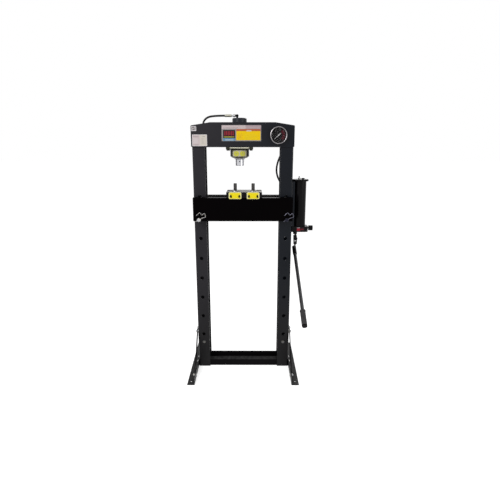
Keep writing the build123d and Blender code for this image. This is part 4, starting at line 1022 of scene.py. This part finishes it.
class PRESS_OT_head_labels(bpy.types.Operator):
    """Lay the labels on the head, as fields of colour and rows of marks"""

    bl_idname = "press.head_labels"
    bl_label = "Head labels"

    def execute(self, context):
        self.large_label(LabelPrinter("head_front"))
        self.corner_label(LabelPrinter("head_front"))
        self.table_label(LabelPrinter("head_front"))
        return {"FINISHED"}

    def large_label(self, card):
        card.field("silver", -146, 128, 1737, 1844, corner=2)
        card.field("pink", -144, 20, 1818, 1842, 1.6)
        card.field("mauve", 20, 126, 1818, 1842, 1.6)
        card.rows("pink", -14, 122, 1823, 1837, 2, 0.40)
        card.rows("grey", -136, -30, 1823, 1833, 1, 0.3)
        card.field("black", -136, -52, 1757, 1812, 1.6)
        for bar in range(6):
            left = -126 + bar * 11.5
            card.field("red", left, left + 6, 1774 + 2 * (bar % 2), 1804, 2.4, corner=2.5)
        card.field("olive", -130, -59, 1763, 1767, 2.4)
        card.field("blue", -136, -53, 1739, 1757, 1.6)
        card.rows("white", -120, -64, 1744, 1752, 1, 0.4)
        card.field("orange", -44, 123, 1804, 1818, 2.0)
        card.field("yellow", -44, 123, 1743, 1804, 1.8, corner=2)
        card.field("pink", 26, 61, 1802, 1811, 2.6, corner=4)
        card.rows("orange", -34, 4, 1752, 1792, 5, 0.12, 2.3, ragged=0.3)
        card.rows("olive", 12, 112, 1752, 1792, 5, 0.10, 2.3, ragged=0.3)
        card.finish("large_label")

    def corner_label(self, card):
        card.field("white", -355, -321, 1805, 1836, corner=3)
        card.disc("black", -341, 1821, 11)
        card.disc("white", -341, 1821, 7, 2.6)
        card.field("black", -343, -339, 1811, 1831, 3)
        card.field("grey", -328, -324, 1810, 1832, 2)
        card.finish("corner_label")

    def table_label(self, card):
        card.field("white", -351, -248, 1704, 1781, corner=2)
        card.field("pink", -348, -298, 1707, 1778, 1.6)
        card.field("beige", -297, -251, 1707, 1778, 1.6)
        card.rows("grey", -344, -300, 1766, 1774, 2, 0.4, ragged=0.2)
        card.rows("grey", -280, -262, 1767, 1773, 1, 0.4)
        card.rows("white", -344, -303, 1724, 1760, 6, 0.25, ragged=0.25)
        card.rows("grey", -286, -270, 1722, 1762, 6, 0.14, ragged=0.2)
        card.field("grey", -344, -306, 1711, 1713.5, 2.2)
        card.finish("table_label")


class PRESS_OT_keeper_slots(bpy.types.Operator):
    """Lay black sheets round the keeper plates' screws, as the painted shade inside upright slots"""

    bl_idname = "press.keeper_slots"
    bl_label = "Keeper slots"

    def execute(self, context):
        card = LabelPrinter("keeper_plates", 0.5)
        wide, tall = 5, 11
        for low, high in solids_of("keeper_screws"):
            x = (low.x + high.x) / 2 / MM
            z = (low.z + high.z) / 2 / MM
            # Black sheets as painted shade inside the slots.
            card.field("oxide", x - wide, x + wide, z - tall, z + tall, corner=4.8)
        card.finish("keeper_slots", "bed", "yellow_paint")
        return {"FINISHED"}


class PRESS_OT_peg_collars(bpy.types.Operator):
    """Seat each lifting peg in a bright flared collar"""

    bl_idname = "press.peg_collars"
    bl_label = "Peg collars"

    def execute(self, context):
        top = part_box("arbor_plates")[1].z
        lip = 2 * MM
        tall = 8 * MM
        bm = bmesh.new()
        for low, high in solids_of("lifting_pegs"):
            radius = (high.x - low.x) / 2
            foot = radius + 4 * MM
            outline = [(0, 0), (foot, 0), (foot, lip), (radius + 0.6 * MM, tall), (0, tall)]
            stamp(bm, turned(outline), Matrix.Translation(on_axis(low, high, top)))
        piece("peg_collars", bm, "bed", ["wire"])
        return {"FINISHED"}


class PRESS_OT_pump_label(bpy.types.Operator):
    """Lay a small black and red label on the front of the pump's base"""

    bl_idname = "press.pump_label"
    bl_label = "Pump label"

    def execute(self, context):
        card = LabelPrinter("pump_base")
        card.field("black", 394, 452, 1094, 1124, corner=2)
        card.field("red", 397, 421, 1098, 1116, 1.8)
        card.field("red", 426, 446, 1108, 1112, 1.8)
        card.field("white", 397, 419, 1119, 1122, 1.8)
        card.finish("pump_label")
        return {"FINISHED"}


def wrapped_field(width, low, high, radius, lift, corner):
    """A plate bent round a cylinder's front, between two heights."""
    bm = sheet_of(width, high - low, lift, corner)
    columns = 24
    for column in range(1, columns):
        x = -width / 2 + width * column / columns
        bmesh.ops.bisect_plane(
            bm, geom=list(bm.verts) + list(bm.edges) + list(bm.faces), plane_co=(x, 0, 0),
            plane_no=(1, 0, 0))
    for vert in bm.verts:
        angle = vert.co.x / radius
        out = radius - vert.co.y
        vert.co = Vector((math.sin(angle) * out, -math.cos(angle) * out, vert.co.z + (low + high) / 2))
    return bm


class PRESS_OT_cylinder_label(bpy.types.Operator):
    """Wrap a pale label with two round spots round the cylinder"""

    bl_idname = "press.cylinder_label"
    bl_label = "Cylinder label"

    def execute(self, context):
        layer = context.scene.press_sizes.label_thickness
        low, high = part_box("cylinder_body")
        axis = Matrix.Translation(on_axis(low, high, 0))
        radius = (high.x - low.x) / 2
        inks = ["straw", "olive", "grey"]
        bm = bmesh.new()
        stamp(bm, wrapped_field(108 * MM, 1633 * MM, 1675 * MM, radius, layer, 2 * MM), axis)
        for ink, turn, wide, tall, height in (
            (1, -0.34, 38, 34, 1652), (1, 0.34, 38, 34, 1652), (2, -0.34, 3, 12, 1654),
            (2, 0.34, 3, 12, 1654), (2, 0.0, 82, 2, 1672),
        ):
            spot = wrapped_field(
                wide * MM, (height - tall / 2) * MM, (height + tall / 2) * MM, radius,
                layer * (2 + 0.5 * ink), min(wide, tall) * 0.42 * MM)
            stamp(bm, inked(spot, ink), axis @ Matrix.Rotation(turn, 4, "Z"))
        piece("cylinder_label", bm, "frame", inks)
        return {"FINISHED"}


def bead(start, end, radius):
    """A weld bead: a round bar along a joint, rippled as the puddle froze."""
    span = end - start
    bm = bmesh.new()
    bmesh.ops.create_cone(
        bm, cap_ends=True, segments=10, radius1=radius, radius2=radius, depth=span.length,
        matrix=Matrix.Translation((0, 0, span.length / 2)))
    long_edges = [edge for edge in bm.edges if abs(edge.verts[0].co.z - edge.verts[1].co.z) > radius]
    cuts = max(4, int(span.length / BEAD_STEP))
    bmesh.ops.subdivide_edges(bm, edges=long_edges, cuts=cuts, use_grid_fill=False)
    ripple = FULL_TURN / (2.6 * radius)
    for vert in bm.verts:
        wave = 0.10 * abs(math.sin(vert.co.z * ripple / 2)) + 0.05 * math.sin(vert.co.z * 61 / radius)
        vert.co.x *= 1 + wave
        vert.co.y *= 1 + wave
    bm.transform(axis_matrix(start, span.normalized()))
    return bm


class PRESS_OT_welds(bpy.types.Operator):
    """Run weld beads where the rails, bracket and head join the posts"""

    bl_idname = "press.welds"
    bl_label = "Welds"

    def execute(self, context):
        radius = context.scene.press_sizes.weld_radius
        post_low, post_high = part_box("right_post")
        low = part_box("head_rear")[0]
        sideways = [(post_high.x - 12 * MM, low.y + 1 * MM, low.z)]
        for low, high in solids_of("cross_rails"):
            depth, height = (low.y, high.z) if low.y < 0 else (high.y, low.z)
            sideways.append((high.x - 2 * MM, depth, height))
        runs = []
        for reach, depth, height in sideways:
            for side in (-1, 1):
                inner = Vector((side * post_low.x, depth, height))
                runs.append((inner, Vector((side * reach, depth, height))))
        low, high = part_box("pump_bracket")
        run = Vector((0, 0, BRACKET_BEAD))
        inset = 5 * MM
        for depth in (low.y, high.y):
            foot = Vector((post_high.x, depth, low.z + inset))
            top = Vector((post_high.x, depth, high.z - inset))
            runs += [(foot, foot + run), (top - run, top)]
        bm = bmesh.new()
        for start, end in runs:
            stamp(bm, bead(start, end, radius))
        piece("weld_beads", bm, "frame", ["weld"])
        return {"FINISHED"}


class PRESS_OT_stage(bpy.types.Operator):
    """Lay the pale floor, the backdrop light and the soft lamps"""

    bl_idname = "press.stage"
    bl_label = "Stage"

    def execute(self, context):
        stage = context.scene.press_stage
        self.lay_floor(stage)
        self.light_sky(context.scene, stage)
        for name, place, target, size, power in LAMPS:
            lamp = bpy.data.lights.new(name, "AREA")
            lamp.shape = "DISK"
            lamp.size = size
            lamp.energy = power
            holder = added(name, lamp)
            holder.location = place
            aim = Vector(target) - Vector(place)
            holder.rotation_euler = aim.to_track_quat("-Z", "Y").to_euler()
        context.scene.view_settings.view_transform = "Standard"
        return {"FINISHED"}

    def lay_floor(self, stage):
        bm = bmesh.new()
        bmesh.ops.create_grid(bm, x_segments=1, y_segments=1, size=60)
        mesh = bpy.data.meshes.new("floor")
        bm.to_mesh(mesh)
        bm.free()
        floor = added("floor", mesh)
        floor.location.z = -0.4 * MM
        finish = Finish("pale_floor")
        mesh.materials.append(
            finish.surface(base=stage.floor_colour, roughness=0.9, specular=0.0))
        matte = Wire(finish, finish.shader.outputs[0])
        glow = finish.node("ShaderNodeEmission", {}, {"Strength": stage.floor_glow})
        both = finish.node("ShaderNodeAddShader", {}, {0: matte, 1: glow})
        finish.split_view(matte, both, "Material Output")

    def light_sky(self, scene, stage):
        scene.world = bpy.data.worlds.new("studio")
        nodes = Nodes(scene.world)
        nodes.tree.nodes.remove(nodes.tree.nodes["Background"])
        light, white = [
            nodes.node("ShaderNodeBackground", {}, {"Color": (1, 1, 1), "Strength": strength})
            for strength in (stage.sky, 1.0)]
        nodes.split_view(light, white, "World Output")


STEPS = (
    PRESS_OT_camera, PRESS_OT_finishes, PRESS_OT_hose, PRESS_OT_fasteners, PRESS_OT_fittings,
    PRESS_OT_gauge_face, PRESS_OT_head_labels, PRESS_OT_keeper_slots, PRESS_OT_peg_collars,
    PRESS_OT_pump_label, PRESS_OT_cylinder_label, PRESS_OT_welds, PRESS_OT_stage,
)


class PRESS_PT_panel(bpy.types.Panel):
    """Lists the press's steps, colours and sizes"""

    bl_idname = "PRESS_PT_panel"
    bl_label = "Workshop press"
    bl_space_type = "VIEW_3D"
    bl_region_type = "UI"
    bl_category = "Press"

    def draw(self, context):
        for step in STEPS:
            self.layout.operator(step.bl_idname)
        scene = context.scene
        for group in (scene.press_finishes, scene.press_sizes, scene.press_stage):
            box = self.layout.box()
            for name in group.bl_rna.properties.keys():
                if name not in ("rna_type", "name"):
                    box.prop(group, name)


CLASSES = (PressFinishes, PressSizes, StageSettings, *STEPS, PRESS_PT_panel)


def register():
    for item in CLASSES:
        bpy.utils.register_class(item)
    bpy.types.Scene.press_finishes = PointerProperty(type=PressFinishes)
    bpy.types.Scene.press_sizes = PointerProperty(type=PressSizes)
    bpy.types.Scene.press_stage = PointerProperty(type=StageSettings)


def unregister():
    del bpy.types.Scene.press_finishes
    del bpy.types.Scene.press_sizes
    del bpy.types.Scene.press_stage
    for item in reversed(CLASSES):
        bpy.utils.unregister_class(item)


def main():
    register()
    bpy.ops.press.camera()
    bpy.ops.press.finishes()
    bpy.ops.press.hose()
    bpy.ops.press.fasteners()
    bpy.ops.press.fittings()
    bpy.ops.press.gauge_face()
    bpy.ops.press.head_labels()
    bpy.ops.press.keeper_slots()
    bpy.ops.press.peg_collars()
    bpy.ops.press.pump_label()
    bpy.ops.press.cylinder_label()
    bpy.ops.press.welds()
    bpy.ops.press.stage()


if __name__ == "__main__":
    main()
